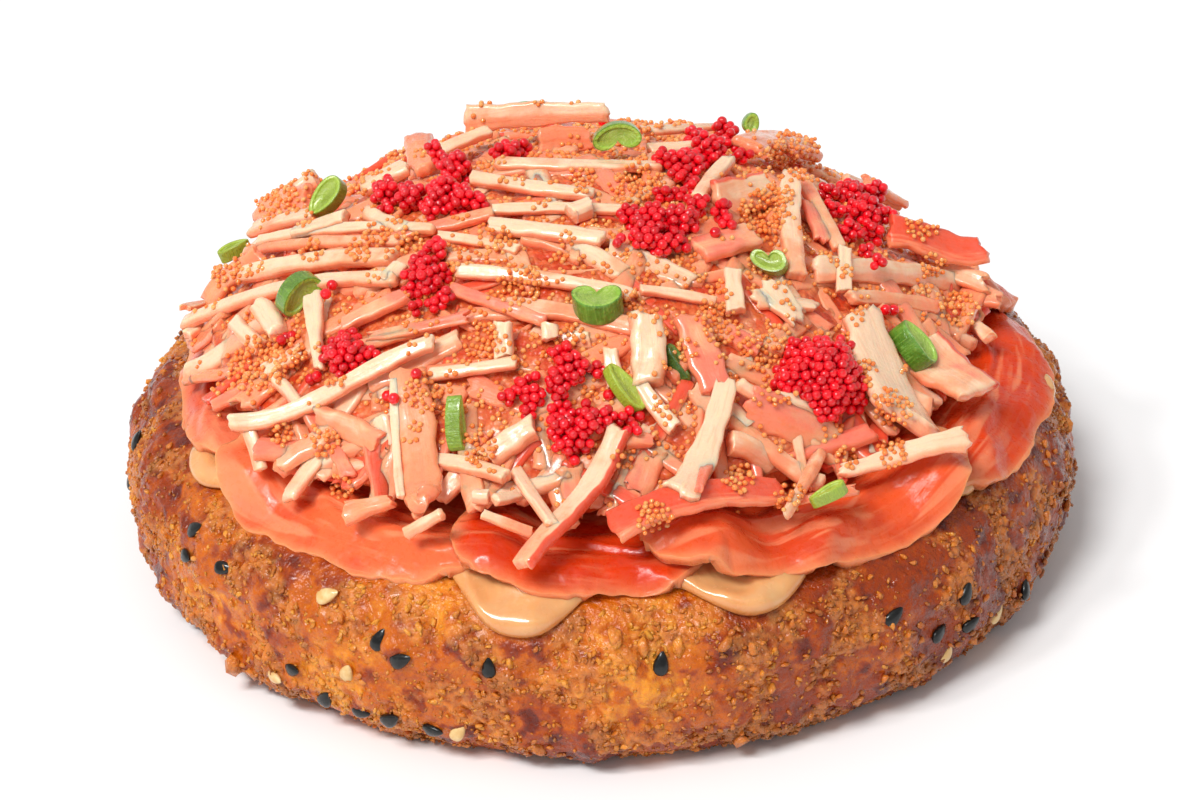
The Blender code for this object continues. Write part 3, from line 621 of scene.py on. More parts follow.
def joinCopies(name, copies):
    # one mesh of many copies, each a shape with its own points, tones and UV places
    corners = []
    starts = []
    pointCount = 0
    cornerCount = 0
    for copy in copies:
        corners.append(copy["shape"]["corners"] + pointCount)
        starts.append(copy["shape"]["starts"] + cornerCount)
        pointCount += len(copy["points"])
        cornerCount += len(copy["shape"]["corners"])
    mesh = bpy.data.meshes.new(name)
    mesh.vertices.add(pointCount)
    mesh.vertices.foreach_set("co", np.concatenate([c["points"] for c in copies]).ravel())
    mesh.loops.add(cornerCount)
    mesh.loops.foreach_set("vertex_index", np.concatenate(corners))
    starts = np.concatenate(starts)
    mesh.polygons.add(len(starts))
    mesh.polygons.foreach_set("loop_start", starts)
    mesh.update(calc_edges=True)
    mesh.validate()
    tones = [np.broadcast_to(c["tone"], (len(c["points"]), 3)) for c in copies]
    paint(mesh, np.concatenate(tones))
    if "spots" in copies[0]:
        unwrap(mesh, np.concatenate([c["spots"] for c in copies]))
    piece = bpy.data.objects.new(name, mesh)
    bpy.context.scene.collection.objects.link(piece)
    return piece


def anyTurn(draw):
    return Matrix.Rotation(draw.uniform(0, 6.28), 3, "Z") @ Matrix.Rotation(draw.uniform(0, 6.28), 3, "X")


# Fried crust

crust = {
    "columns": 1100,
    "rows": 120,
    "hiddenRun": 38.0,  # the relief starts outside this, where the crust begins to show
    "bottomRun": 46.0,  # how far the skin goes on under the patty
    "grainDepth": 0.5,
    "crumbs": 8900,
    # large crumbs that stand out: angle, height above the base, size in mm
    "flakes": ((222, 4.0, 1.4), (224, 3.0, 1.0), (271, 17.2, 1.2), (274, 16.2, 0.9), (278, 16.0, 1.0),
               (283, 15.8, 0.9), (286, 15.0, 0.7), (262, 3.0, 0.9), (285, 2.8, 1.0), (300, 3.2, 0.9),
               (335, 12.0, 0.9), (345, 8.0, 0.9), (352, 15.0, 0.8), (200, 9.0, 1.0), (190, 12.0, 0.9),
               (183, 4.0, 0.9), (212, 6.0, 0.8), (246, 6.0, 0.7), (318, 4.0, 0.9), (90, 8.0, 1.0),
               (140, 6.0, 0.9), (60, 12.0, 0.9), (25, 6.0, 1.0), (110, 4.0, 0.9), (160, 8.0, 1.0)),
}


def coveredRun(angle):
    degrees = math.degrees(angle)
    covered = mayoEdge(angle)
    for entry in salmonSlices:
        if abs(angleApart(degrees, (entry[1] + entry[2]) / 2)) <= (entry[2] - entry[1]) / 2 + 4:
            covered = max(covered, salmonReach(entry, angle))
    return covered


def puff(place, size):
    # round bumps with sharp creases between them
    return abs(noise.noise(place / size)) * 2 - 0.5


def crustRelief(angle, run):
    # height of the crags and blisters, then how toasted (with the painted side shade in it), how grainy and
    # how high a place is
    place = skinPoint(angle, run)
    broad = noise.noise(place / 9.0) * 0.9
    crest = max(noise.noise(place / 5.0 - Vector((4.0, 9.0, 2.0))), 0.0) * 1.2
    grainy = smoothStep(noise.noise(place / 5.0 + Vector((1.0, 20.0, 5.0))) * 1.8 + 0.6)
    small = noise.noise(place / 0.8 + Vector((3.0, 1.0, 8.0)))
    cell = noise.voronoi(place / 1.2)[0][0]
    grains = (0.45 - cell) * crust["grainDepth"] + small * 0.34 + puff(place, 1.5) * 0.2
    grains *= 0.25 + 0.75 * grainy
    low = smoothStep((run - shoulderEnd) / 12)
    clear = smoothStep((run - coveredRun(angle) - 0.6) / 3)
    base = 1 - smoothStep((run - skinEnd + 5) / 5)
    height = (broad + puff(place, 3.6) * 0.5 + crest - 0.3 + grains - 0.7 * low) * clear * base
    speck = noise.noise(place / 2.4 + Vector((30.0, 4.0, 9.0))) + small * 0.35
    spots = smoothStep((speck - 0.22) * 3.0) * (0.45 + 0.55 * low)
    warm = noise.noise(place / 12.0 + Vector((9.0, 9.0, 2.0)))
    # painted shade: toasting is raised on the right and the left and lowered at the front, so the crust is
    # darker or lighter by which way it faces
    shade = 0.22 * max(math.cos(angle + 0.6), 0.0) + 0.14 * max(math.cos(angle - 3.5), 0.0)
    shade -= 0.30 * max(math.cos(angle - 4.5), 0.0) ** 8
    toastAndShade = 0.37 + 0.38 * warm + 0.7 * spots + 0.2 * low + shade + 0.3 * crest * grainy
    return height, (toastAndShade, grainy, min(max(0.5 + 0.9 * grains, 0.0), 1.0))


def makeCrust(material):
    last = skinEnd + crust["bottomRun"]

    def place(u, v):
        angle = 2 * math.pi * u
        if v < 0.04:
            run = crust["hiddenRun"] * v / 0.04
        elif v < 0.95:
            run = crust["hiddenRun"] + (skinEnd - crust["hiddenRun"]) * (v - 0.04) / 0.91
        else:
            run = skinEnd + (last - skinEnd) * (v - 0.95) / 0.05
        if crust["hiddenRun"] < run < skinEnd:
            height, tone = crustRelief(angle, run)
        else:
            height, tone = 0.0, (0.6, 0.4, 0.5)
        return skinPoint(angle, run, height), tone, (angle * patty["radius"], run)

    piece = drapeGrid("fried_crust", crust["columns"], crust["rows"], place)
    closeSeams()
    finishPiece(piece, material, "fried_crust", "rice_patty")


def crumbShapes():
    shapes = []
    for seed in range(5):
        bpy.ops.mesh.primitive_ico_sphere_add(subdivisions=1, radius=1)
        with editing():
            bpy.ops.transform.vertex_random(offset=0.5, seed=seed)
            bpy.ops.transform.resize(value=(1.3, 0.8, 0.9 - 0.08 * seed))
        shapes.append(readShape(bpy.context.object))
    return shapes


def onCrust(shape, angle, run, turn, size, lift, tone):
    # a copy turned about the axes along the rim, up the side and outwards
    place = skinPoint(angle, run, crustRelief(angle, run)[0])
    along = Vector((-math.sin(angle), math.cos(angle), 0))
    upward = (skinPoint(angle, run - 0.2) - skinPoint(angle, run + 0.2)).normalized()
    outward = along.cross(upward).normalized()
    axes = np.array(Matrix((along, upward, outward)).transposed() @ turn)
    points = shape["points"] @ axes.T * size + np.array(place + outward * lift)
    points[:, 2] = np.maximum(points[:, 2], 0.05)
    return {"shape": shape, "points": points, "tone": tone}


def runAtHeight(angle, height):
    run = flatEnd
    while skinPoint(angle, run).z > height and run < skinEnd:
        run += 0.1
    return run


def makeCrumbs(material):
    draw = random.Random(3)
    shapes = crumbShapes()
    copies = []
    while len(copies) < crust["crumbs"]:
        angle = draw.uniform(0, 2 * math.pi)
        run = draw.uniform(coveredRun(angle) + 0.8, skinEnd - 1.2)
        # crumbs follow the crust's toasting, with its painted side shade
        toastAndShade, grainy = crustRelief(angle, run)[1][:2]
        if draw.random() > 0.15 + 0.85 * grainy:
            continue
        size = 0.16 + 0.34 * draw.random() ** 3
        turn = anyTurn(draw)
        shape = draw.choice(shapes)
        tone = (min(max(toastAndShade + draw.uniform(-0.35, 0.15), 0), 1), 0.9, 0.5)
        copies.append(onCrust(shape, angle, run, turn, size, size * 0.1, tone))
    for degrees, height, size in crust["flakes"]:
        angle = math.radians(degrees)
        run = runAtHeight(angle, height)
        turn = Matrix.Rotation(draw.uniform(0.6, 2.5), 3, "Z")
        tone = (min(crustRelief(angle, run)[1][0], 0.5), 0.9, 0.7)
        copies.append(onCrust(draw.choice(shapes), angle, run, turn, size, size * 0.2, tone))
    finishPiece(joinCopies("crust_crumbs", copies), material, "fried_crust")


# Sesame seeds: angle, height above the base in mm, turn in degrees

seeds = {
    "size": (1.42, 0.8, 0.54),
    "black": ((188, 16.0, 80), (213, 17.0, 40), (213, 14.0, 10), (220, 15.5, 20), (182, 7.0, 60),
              (244, 15.0, 70), (247, 13.5, 30), (257, 14.0, 90), (232, 7.5, 20), (236, 4.6, 60),
              (241, 4.5, 10), (245, 5.0, 40), (250, 4.3, 15), (276, 14.5, 80), (304, 14.0, 30),
              (315, 12.5, 60), (311, 9.0, 15), (316, 8.0, 20), (328, 6.5, 60), (20, 12.0, 45),
              (62, 9.0, 70), (103, 13.0, 10), (128, 8.0, 50), (158, 12.0, 30)),
    "pale": ((236, 17.5, 30), (240, 10.0, 70), (229, 5.2, 10), (253, 4.6, 60), (323, 5.4, 30),
             (313, 5.0, 80), (40, 10.0, 20), (85, 7.0, 60), (146, 14.0, 40)),
}


def seedShape():
    # one end pointed, the other round, with a slight ridge
    bpy.ops.mesh.primitive_uv_sphere_add(segments=18, ring_count=12, radius=1)
    with editing():
        bpy.ops.transform.rotate(value=math.pi / 2, orient_axis="Y", center_override=(0, 0, 0))
        bpy.ops.transform.resize(value=seeds["size"])
    seed = bpy.context.object
    for vert in seed.data.vertices:
        reach = vert.co.x / seeds["size"][0]
        vert.co.y *= 1 - 0.38 * reach - 0.12 * reach ** 3
        vert.co.z *= 1 - 0.25 * reach
        vert.co.z -= 0.10 * (1 - abs(vert.co.y) / seeds["size"][1]) * (vert.co.z > 0)
    return readShape(seed)


def makeSeeds(name, rows, material, slotName):
    shape = seedShape()
    draw = random.Random(8)
    copies = []
    for degrees, height, turn in rows:
        angle = math.radians(degrees)
        tilt = Matrix.Rotation(draw.uniform(-0.3, 0.3), 3, "Y")
        turned = Matrix.Rotation(math.radians(turn), 3, "Z") @ tilt
        size = draw.uniform(0.88, 1.06)
        run = runAtHeight(angle, height)
        copies.append(onCrust(shape, angle, run, turned, size, 0.16, (0.5, 0.5, 0.5)))
    finishPiece(joinCopies(name, copies), material, slotName, "rice_patty")


# Mayonnaise under the salmon

def makeMayo(material):
    start, lipRun = mayoForm["start"], mayoForm["lip"]

    def place(u, v):
        angle = 2 * math.pi * u
        edge = mayoEdge(angle)
        wobble = noise.noise(Vector((math.cos(angle) * 9, math.sin(angle) * 9, 3.0)))
        edge += 0.7 * wobble * smoothStep((edge - 47) / 4)
        run = start + (edge - start) * (1 - (1 - v) ** 1.8)
        drip = smoothStep((run - 51) / 4) * (0.9 + 0.5 * wobble)
        over = max(run - edge + lipRun, 0.0) / lipRun
        lip = math.sqrt(max(1 - over ** 2, 0.0))
        spot = skinPoint(angle, run)
        swirl = noise.noise(spot / 5.0) * 0.9 + noise.noise(spot / 2.0) * 0.5
        swirl *= smoothStep((run - 44) / 4)
        offset = crustGap(run) - 0.25 + (mayoForm["thickness"] + drip + swirl) * lip
        return skinPoint(angle, run, offset), (1 - lip, 0.5, 0.5), (angle * 50, run)

    sheet = drapeGrid("mayo_sauce", 400, 56, place)
    closeSeams()
    applyModifier(sheet, "SOLIDIFY", thickness=0.7, offset=-1)
    finishPiece(sheet, material, "mayonnaise", "mayo_layer")


# Salmon slices

def makeSalmon(index, material):
    entry = salmonSlices[index]
    first, last = entry[1:3]
    pink, deep = entry[6:8]

    def place(u, v):
        angle = math.radians(first + (last - first) * u)
        reach = salmonReach(entry, angle)
        ragged = noise.noise(Vector((angle * 9, index * 4.0, 0))) * 0.8
        ragged += noise.noise(Vector((angle * 26, index * 4.0, 5.0))) * 0.35
        run = salmonForm["start"] + (reach + ragged - salmonForm["start"]) * (1 - (1 - v) ** 1.5)
        spot = skinPoint(angle, run)
        creaseRun = 47.2 + 1.6 * math.sin(7 * angle + index) + noise.noise(spot / 7) * 1.5
        crease = 0.8 * smoothStep((creaseRun - run) / 0.9) * smoothStep((run - 41) / 3)
        fold = 0.55 * noise.noise(Vector((angle * 7, run / 3.5, index * 3.0))) * smoothStep((run - 40) / 6)
        ripple = 0.16 * noise.noise(Vector((angle * 22, run / 1.3, index * 5.0)))
        ripple += 0.11 * noise.noise(spot / 0.9 + Vector((index, 0, 0)))
        droop = 0.5 * smoothStep((run - reach + 2.5) / 2.5)
        floor = salmonFloor(index, angle, run) + salmonWave(entry, angle, run)
        thinEdge = smoothStep((v - 0.80) / 0.2)
        side = smoothStep((0.07 - min(u, 1 - u)) / 0.07)
        edge = max(thinEdge ** 2, side)
        offset = floor + crease + fold + ripple - droop
        return skinPoint(angle, run, max(offset, 0.35)), (pink, deep, edge), (angle * 50, run)

    sheet = drapeGrid(entry[0] + "_slice", 130, 90, place)
    # the painted edge says how much thinner the slice is there
    thick = sheet.vertex_groups.new(name="thick")
    layer = sheet.data.color_attributes["tone"]
    for vert in sheet.data.vertices:
        thick.add([vert.index], 1 - 0.72 * layer.data[vert.index].color[2], "REPLACE")
    applyModifier(sheet, "SOLIDIFY", thickness=salmonForm["thickness"], offset=1,
                  vertex_group="thick", thickness_vertex_group=0.05)
    sheet.vertex_groups.clear()
    finishPiece(sheet, material, "raw_salmon", entry[0])
    return sheet


# Crab salad: a core of dressing and roe, then the shreds

def makeCore(material):
    def place(u, v):
        angle = 2 * math.pi * u
        rim = heapRim(angle)
        if v < 0.8:
            away = rim * v / 0.8
            x, y = away * math.cos(angle), away * math.sin(angle)
            spot = Vector((x, y, 0))
            bumps = 0.5 * noise.noise(spot / 4.0) + 0.35 * noise.noise(spot / 1.6)
            bumps += (0.5 - noise.voronoi(spot / 1.05)[0][0]) * 0.5
            point = Vector((x, y, heapTop(x, y) + 0.2 - backDrop(y) + bumps))
        else:
            away = rim * (1 - (v - 0.8) / 0.2)
            point = skinPoint(angle, away, salmonFloor(len(salmonSlices), angle, away) + 0.1)
        return point, (0.5, 0.5, 0.5), (angle * 40, away)

    core = drapeGrid("crab_core", 360, 130, place)
    closeSeams()
    return finishPiece(core, material, "crab_shreds", "crab_salad")


def stripShape(lengthCuts, widthCuts, heightCuts):
    # a unit strip along X with softly rounded long edges
    squareness = 3.8
    bpy.ops.mesh.primitive_cube_add(size=1)
    with editing():
        cutAcross(0, lengthCuts)
        cutAcross(1, widthCuts)
        cutAcross(2, heightCuts)
    strip = bpy.context.object
    for vert in strip.data.vertices:
        across, up = abs(vert.co.y) * 2, abs(vert.co.z) * 2
        most = max(across, up)
        if most > 0:
            pull = most / (across ** squareness + up ** squareness) ** (1 / squareness)
            vert.co.y *= pull
            vert.co.z *= pull
        if abs(vert.co.x) > 0.499:
            vert.co.x *= 1 - 0.028 * most ** 4
    return readShape(strip)


# how a strip's width goes from its first end to its last, its thickness as a share of the width or
# as a most in mm, how far its ends fray and how it is rolled about its own length
stripForms = {
    "stick": (1.0, 1.0, 0.7, 2.0, 0.3, 12),
    "plate": (1.0, 1.0, 0.5, 1.5, 0.5, 0),
    "torn": (1.0, 0.8, 0.4, 1.2, 1.3, 0),
    "wedge": (1.0, 0.45, 0.6, 1.8, 0.4, 0),
    "sliver": (1.0, 0.2, 0.7, 1.4, 0.3, 20),
    "fan": (0.7, 1.2, 0.4, 2.0, 1.0, 0),
    "standing": (1.0, 0.6, 0.45, 1.7, 0.4, 80),
    "tilted": (1.0, 0.85, 0.45, 1.5, 0.5, 42),
    "block": (1.0, 0.95, 0.9, 3.2, 0.3, 0),
}

# how soaked with dressing, how much red skin, and how clean of roe film
stripLooks = {
    "white": (0.04, 0.0, 1.0),
    "cream": (0.26, 0.0, 0.85),
    "peach": (0.50, 0.0, 0.5),
    "pink": (0.80, 0.0, 0.7),
    "skin": (0.66, 1.0, 0.6),
    "edged": (0.40, 1.0, 0.8),
    "roe": (0.65, 0.0, 0.0),
}

# Strips that stand out: what it is, its two ends and width in pixels of the image, form, look, and
# how high each end lies above the heap in mm
namedStrips = (
    ("back block", (466, 121), (610, 113), 30, "standing", "cream", 3.0, 3.2),
    ("back left chunk", (420, 138), (430, 168), 28, "plate", "roe", 1.8, 1.2),
    ("back short", (438, 152), (490, 131), 15, "stick", "cream", 1.4, 1.6),
    ("upper skin", (497, 163), (662, 166), 17, "plate", "edged", 1.3, 1.2),
    ("upper pale", (472, 177), (594, 195), 15, "stick", "cream", 1.6, 1.3),
    ("upper thin", (492, 209), (626, 210), 12, "stick", "white", 1.5, 1.0),
    ("upper knob", (572, 214), (592, 207), 20, "block", "white", 1.8, 1.8),
    ("upper fourth", (490, 226), (605, 239), 18, "stick", "white", 1.6, 1.7),
    ("roe rest", (382, 240), (495, 213), 15, "stick", "pink", 1.0, 1.2),
    ("low cream", (438, 236), (520, 251), 11, "stick", "cream", 1.0, 1.0),
    ("big arc", (456, 270), (634, 297), 15, "stick", "cream", 1.9, 1.3),
    ("broad middle", (506, 305), (636, 329), 20, "plate", "peach", 1.0, 1.2),
    ("left slope", (452, 288), (546, 323), 13, "stick", "pink", 1.4, 1.6),
    ("pink leaf", (368, 337), (471, 316), 16, "torn", "pink", 1.4, 1.8),
    ("long diagonal", (229, 427), (436, 341), 18, "stick", "white", 2.6, 2.8),
    ("elbow up", (504, 321), (505, 359), 19, "stick", "white", 2.8, 1.6),
    ("elbow low", (430, 373), (517, 364), 13, "stick", "white", 1.4, 1.7),
    ("stub", (551, 326), (551, 340), 18, "block", "cream", 1.8, 1.2),
    ("tall block", (646, 316), (649, 384), 35, "block", "cream", 3.2, 1.4),
    ("side stub", (612, 349), (617, 384), 17, "stick", "white", 1.9, 1.2),
    ("left upper", (258, 241), (436, 229), 12, "stick", "cream", 2.6, 1.6),
    ("left middle", (241, 277), (396, 258), 19, "stick", "cream", 2.4, 1.9),
    ("left third", (246, 252), (404, 240), 12, "stick", "peach", 2.0, 1.6),
    ("left low", (183, 314), (398, 279), 15, "stick", "cream", 2.8, 1.8),
    ("left knob", (184, 296), (214, 290), 14, "torn", "peach", 4.2, 2.2),
    ("left upper rim", (206, 262), (262, 254), 24, "tilted", "roe", 4.4, 2.4),
    ("left back roe", (262, 208), (310, 198), 32, "tilted", "roe", 2.6, 2.2),
    ("left back", (256, 229), (318, 213), 23, "plate", "cream", 2.6, 1.8),
    ("left back pale", (295, 234), (347, 217), 17, "stick", "cream", 1.8, 2.0),
    ("back chunk", (292, 186), (318, 172), 20, "block", "cream", 1.4, 1.6),
    ("smooth pale", (364, 189), (408, 166), 25, "plate", "cream", 1.4, 1.8),
    ("roe side back", (368, 213), (406, 228), 16, "stick", "cream", 1.4, 1.4),
    ("roe side low", (386, 282), (402, 264), 17, "stick", "cream", 1.6, 1.6),
    ("upright left", (314, 296), (321, 371), 21, "wedge", "white", 3.0, 1.6),
    ("fork left", (236, 321), (262, 347), 17, "stick", "white", 2.2, 1.2),
    ("fork right", (262, 306), (280, 334), 22, "block", "white", 2.0, 1.2),
    ("left rim", (188, 336), (202, 325), 14, "stick", "cream", 1.2, 1.2),
    ("left slant", (343, 327), (408, 296), 17, "stick", "pink", 1.6, 1.6),
    ("left slant low", (360, 345), (440, 322), 12, "stick", "peach", 1.2, 1.2),
    ("left lump", (268, 372), (300, 352), 26, "torn", "cream", 1.4, 1.6),
    ("left cross", (276, 380), (304, 428), 14, "stick", "white", 2.4, 1.8),
    ("left cross low", (306, 410), (350, 476), 15, "stick", "pink", 2.4, 1.6),
    ("left lump low", (240, 396), (276, 384), 22, "torn", "pink", 1.0, 1.2),
    ("front plate", (408, 372), (424, 503), 38, "plate", "roe", 2.6, 1.6),
    ("front plate edge", (395, 378), (402, 498), 9, "stick", "white", 3.6, 2.6),
    ("front plate side", (379, 420), (392, 483), 24, "plate", "white", 1.6, 1.0),
    ("front cream", (437, 452), (508, 477), 17, "stick", "cream", 3.8, 3.0),
    ("front knob", (476, 496), (490, 497), 15, "block", "white", 1.6, 1.6),
    ("front knob two", (496, 500), (518, 496), 13, "stick", "white", 1.8, 1.8),
    ("front thin", (516, 471), (554, 525), 14, "stick", "white", 2.4, 2.4),
    ("front diagonal", (621, 428), (523, 566), 26, "plate", "edged", 2.8, 1.0),
    ("front left low", (407, 533), (443, 514), 13, "stick", "cream", 1.2, 1.4),
    ("front low thin", (482, 514), (534, 534), 11, "stick", "peach", 1.2, 1.2),
    ("front chunk", (536, 425), (488, 464), 26, "block", "cream", 1.8, 1.6),
    ("middle curved", (641, 382), (676, 429), 17, "stick", "white", 1.6, 1.8),
    ("middle pink", (628, 440), (654, 442), 26, "wedge", "pink", 1.4, 1.4),
    ("front white", (728, 385), (681, 494), 30, "fan", "white", 3.0, 1.5),
    ("front white side", (716, 452), (700, 490), 18, "wedge", "pink", 2.0, 1.8),
    ("front tent", (739, 386), (829, 431), 14, "stick", "white", 3.8, 3.2),
    ("tent side", (748, 408), (842, 446), 46, "torn", "pink", 2.2, 1.8),
    ("tent block", (730, 440), (768, 452), 24, "block", "cream", 1.8, 1.8),
    ("front right", (760, 467), (873, 431), 21, "stick", "pink", 1.8, 2.2),
    ("front red strip", (613, 526), (782, 489), 38, "tilted", "skin", 1.9, 1.8),
    ("front pointed", (819, 455), (787, 515), 21, "sliver", "peach", 1.8, 1.2),
    ("right low", (842, 472), (968, 441), 22, "fan", "cream", 1.4, 1.8),
    ("fan plate", (862, 315), (912, 422), 62, "fan", "white", 2.6, 2.0),
    ("skin plate", (920, 344), (980, 392), 56, "plate", "edged", 1.9, 1.9),
    ("roe stub", (978, 286), (947, 340), 27, "plate", "roe", 2.4, 1.4),
    ("rim stub", (976, 325), (991, 338), 14, "stick", "cream", 1.0, 1.0),
    ("right upper", (815, 269), (961, 285), 27, "tilted", "cream", 1.6, 1.8),
    ("right second", (850, 298), (940, 309), 15, "stick", "peach", 1.2, 1.4),
    ("upright thin", (846, 248), (845, 293), 15, "stick", "white", 3.2, 1.4),
    ("red right strip", (890, 230), (986, 248), 36, "tilted", "skin", 2.8, 5.9),
    ("right roe piece", (868, 182), (904, 194), 22, "torn", "roe", 2.6, 2.0),
    ("right rim chunk", (938, 262), (988, 272), 24, "torn", "peach", 1.8, 3.8),
    ("right rim fill", (950, 284), (1000, 300), 26, "torn", "pink", 1.6, 2.2),
    ("centre cream", (730, 161), (699, 199), 16, "stick", "cream", 2.4, 1.8),
    ("centre plate", (718, 204), (772, 189), 44, "tilted", "edged", 1.8, 2.0),
    ("upright tall", (792, 175), (798, 278), 21, "stick", "cream", 3.4, 1.6),
    ("centre lean", (800, 173), (841, 248), 15, "stick", "peach", 2.4, 1.6),
    ("centre lean wide", (812, 205), (824, 240), 24, "torn", "pink", 1.6, 1.2),
    ("centre pink", (698, 250), (754, 236), 36, "plate", "pink", 1.2, 1.4),
    ("centre stub", (734, 270), (737, 312), 19, "stick", "white", 1.8, 1.2),
    ("white triangle", (768, 286), (800, 318), 34, "torn", "white", 1.6, 1.4),
    ("white triangle low", (756, 300), (815, 306), 22, "torn", "cream", 1.2, 1.2),
    ("pink down", (689, 318), (718, 388), 34, "plate", "pink", 2.2, 1.6),
    ("middle fork", (640, 291), (718, 303), 11, "stick", "cream", 1.4, 1.4),
    ("folded orange", (748, 146), (806, 136), 34, "plate", "roe", 2.6, 2.2),
    ("folded orange end", (786, 146), (820, 157), 22, "wedge", "roe", 1.8, 1.4),
    ("back flake", (641, 131), (716, 127), 18, "torn", "cream", 1.0, 1.2),
    ("back flake low", (650, 150), (700, 146), 14, "stick", "cream", 0.8, 1.0),
    ("back right", (846, 180), (900, 201), 15, "stick", "cream", 1.4, 1.4),
    ("under tent", (700, 320), (760, 350), 20, "stick", "pink", 0.9, 0.9),
    ("slant plate", (319, 416), (383, 468), 26, "plate", "peach", 1.6, 1.2),
    ("left front plate", (256, 446), (332, 438), 26, "plate", "pink", 1.4, 1.6),
    ("left front low", (280, 464), (336, 455), 26, "plate", "peach", 1.0, 1.2),
    ("left front chunk", (337, 467), (384, 466), 24, "block", "peach", 1.4, 1.4),
    ("left front corner", (346, 513), (394, 500), 26, "wedge", "roe", 1.4, 1.6),
    ("left front pale", (250, 430), (262, 470), 14, "stick", "cream", 1.0, 0.8),
    ("back block rest", (540, 144), (592, 139), 36, "standing", "roe", -0.3, -0.2),
    ("low right rest", (806, 500), (856, 490), 20, "torn", "pink", 0.2, 0.2),
)

# Strips between those, in mm: the lift is how high their ends lie above the heap
crabFill = {
    "shreds": 300,
    "atRim": 86,
    "length": (6.0, 13.0),
    "width": (1.2, 3.2),
    "lift": (-0.4, 0.5),
    "looks": ["cream"] * 4 + ["peach"] * 5 + ["pink"] * 7 + ["skin"] * 3 + ["roe"] * 4,
    "forms": ["stick"] * 4 + ["plate"] * 4 + ["torn"] * 5 + ["wedge"] * 2 + ["sliver"],
    "rimLooks": ("pink", "peach", "roe", "skin"),
    "rimForms": ("torn", "torn", "wedge", "plate"),
}

# How far strips may differ from each other: the bow as a share of the length, the roll in degrees,
# and the twist from end to end in radians
stripPlay = {"bow": 0.04, "roll": 10, "twist": 0.6, "slant": 0.3, "pink": 0.08, "clean": 0.15}


def stripRest(first, last, length, lifts):
    # how high the heap lies under a strip at nine places, and the curve of the strip over it
    steps = np.linspace(0, 1, 9)
    spots = [first.lerp(last, step) for step in steps]
    lying = np.array([restHeight(s.x, s.y) for s in spots]) + lifts[0] + (lifts[1] - lifts[0]) * steps
    straight = lying[0] + (lying[-1] - lying[0]) * steps
    follow = 0.15 + 0.4 * smoothStep((length - 7) / 9)
    heights = np.maximum(follow * lying + (1 - follow) * straight, lying - 0.9)
    return steps, lying, np.polyfit(steps, heights, 3)


def stripCourse(first, last, along, bow, curve):
    # the middle line of a strip, and its direction, side and upper side at each point
    run = last - first
    sideways = np.array((-run.y, run.x, 0.0)) / max(math.hypot(run.x, run.y), 0.001)
    lean = bow * 4 * along * (1 - along)
    centre = np.empty((len(along), 3))
    centre[:, 0] = first.x + run.x * along + sideways[0] * lean
    centre[:, 1] = first.y + run.y * along + sideways[1] * lean
    centre[:, 2] = np.polyval(curve, along)
    tangent = np.empty_like(centre)
    tangent[:, 0] = run.x + sideways[0] * bow * 4 * (1 - 2 * along)
    tangent[:, 1] = run.y + sideways[1] * bow * 4 * (1 - 2 * along)
    tangent[:, 2] = np.polyval(np.polyder(curve), along)
    tangent /= np.linalg.norm(tangent, axis=1)[:, None]
    middle = first.lerp(last, 0.5)
    slopeX = (restHeight(middle.x + 1, middle.y) - restHeight(middle.x - 1, middle.y)) / 2
    slopeY = (restHeight(middle.x, middle.y + 1) - restHeight(middle.x, middle.y - 1)) / 2
    side = np.cross(np.array((-slopeX, -slopeY, 1.0)), tangent)
    side /= np.linalg.norm(side, axis=1)[:, None]
    return centre, tangent, side, np.cross(tangent, side)


def skinTone(look, across, upward, draw):
    # red skin over the top and one side, or on one long edge alone
    skinSide = 1 if draw.random() < 0.5 else -1
    if look == "edged":
        return np.clip(6 * (across - 0.3), 0, 1)
    return stripLooks[look][1] * np.clip(0.6 + 0.4 * upward + 0.6 * across * skinSide, 0, 1)


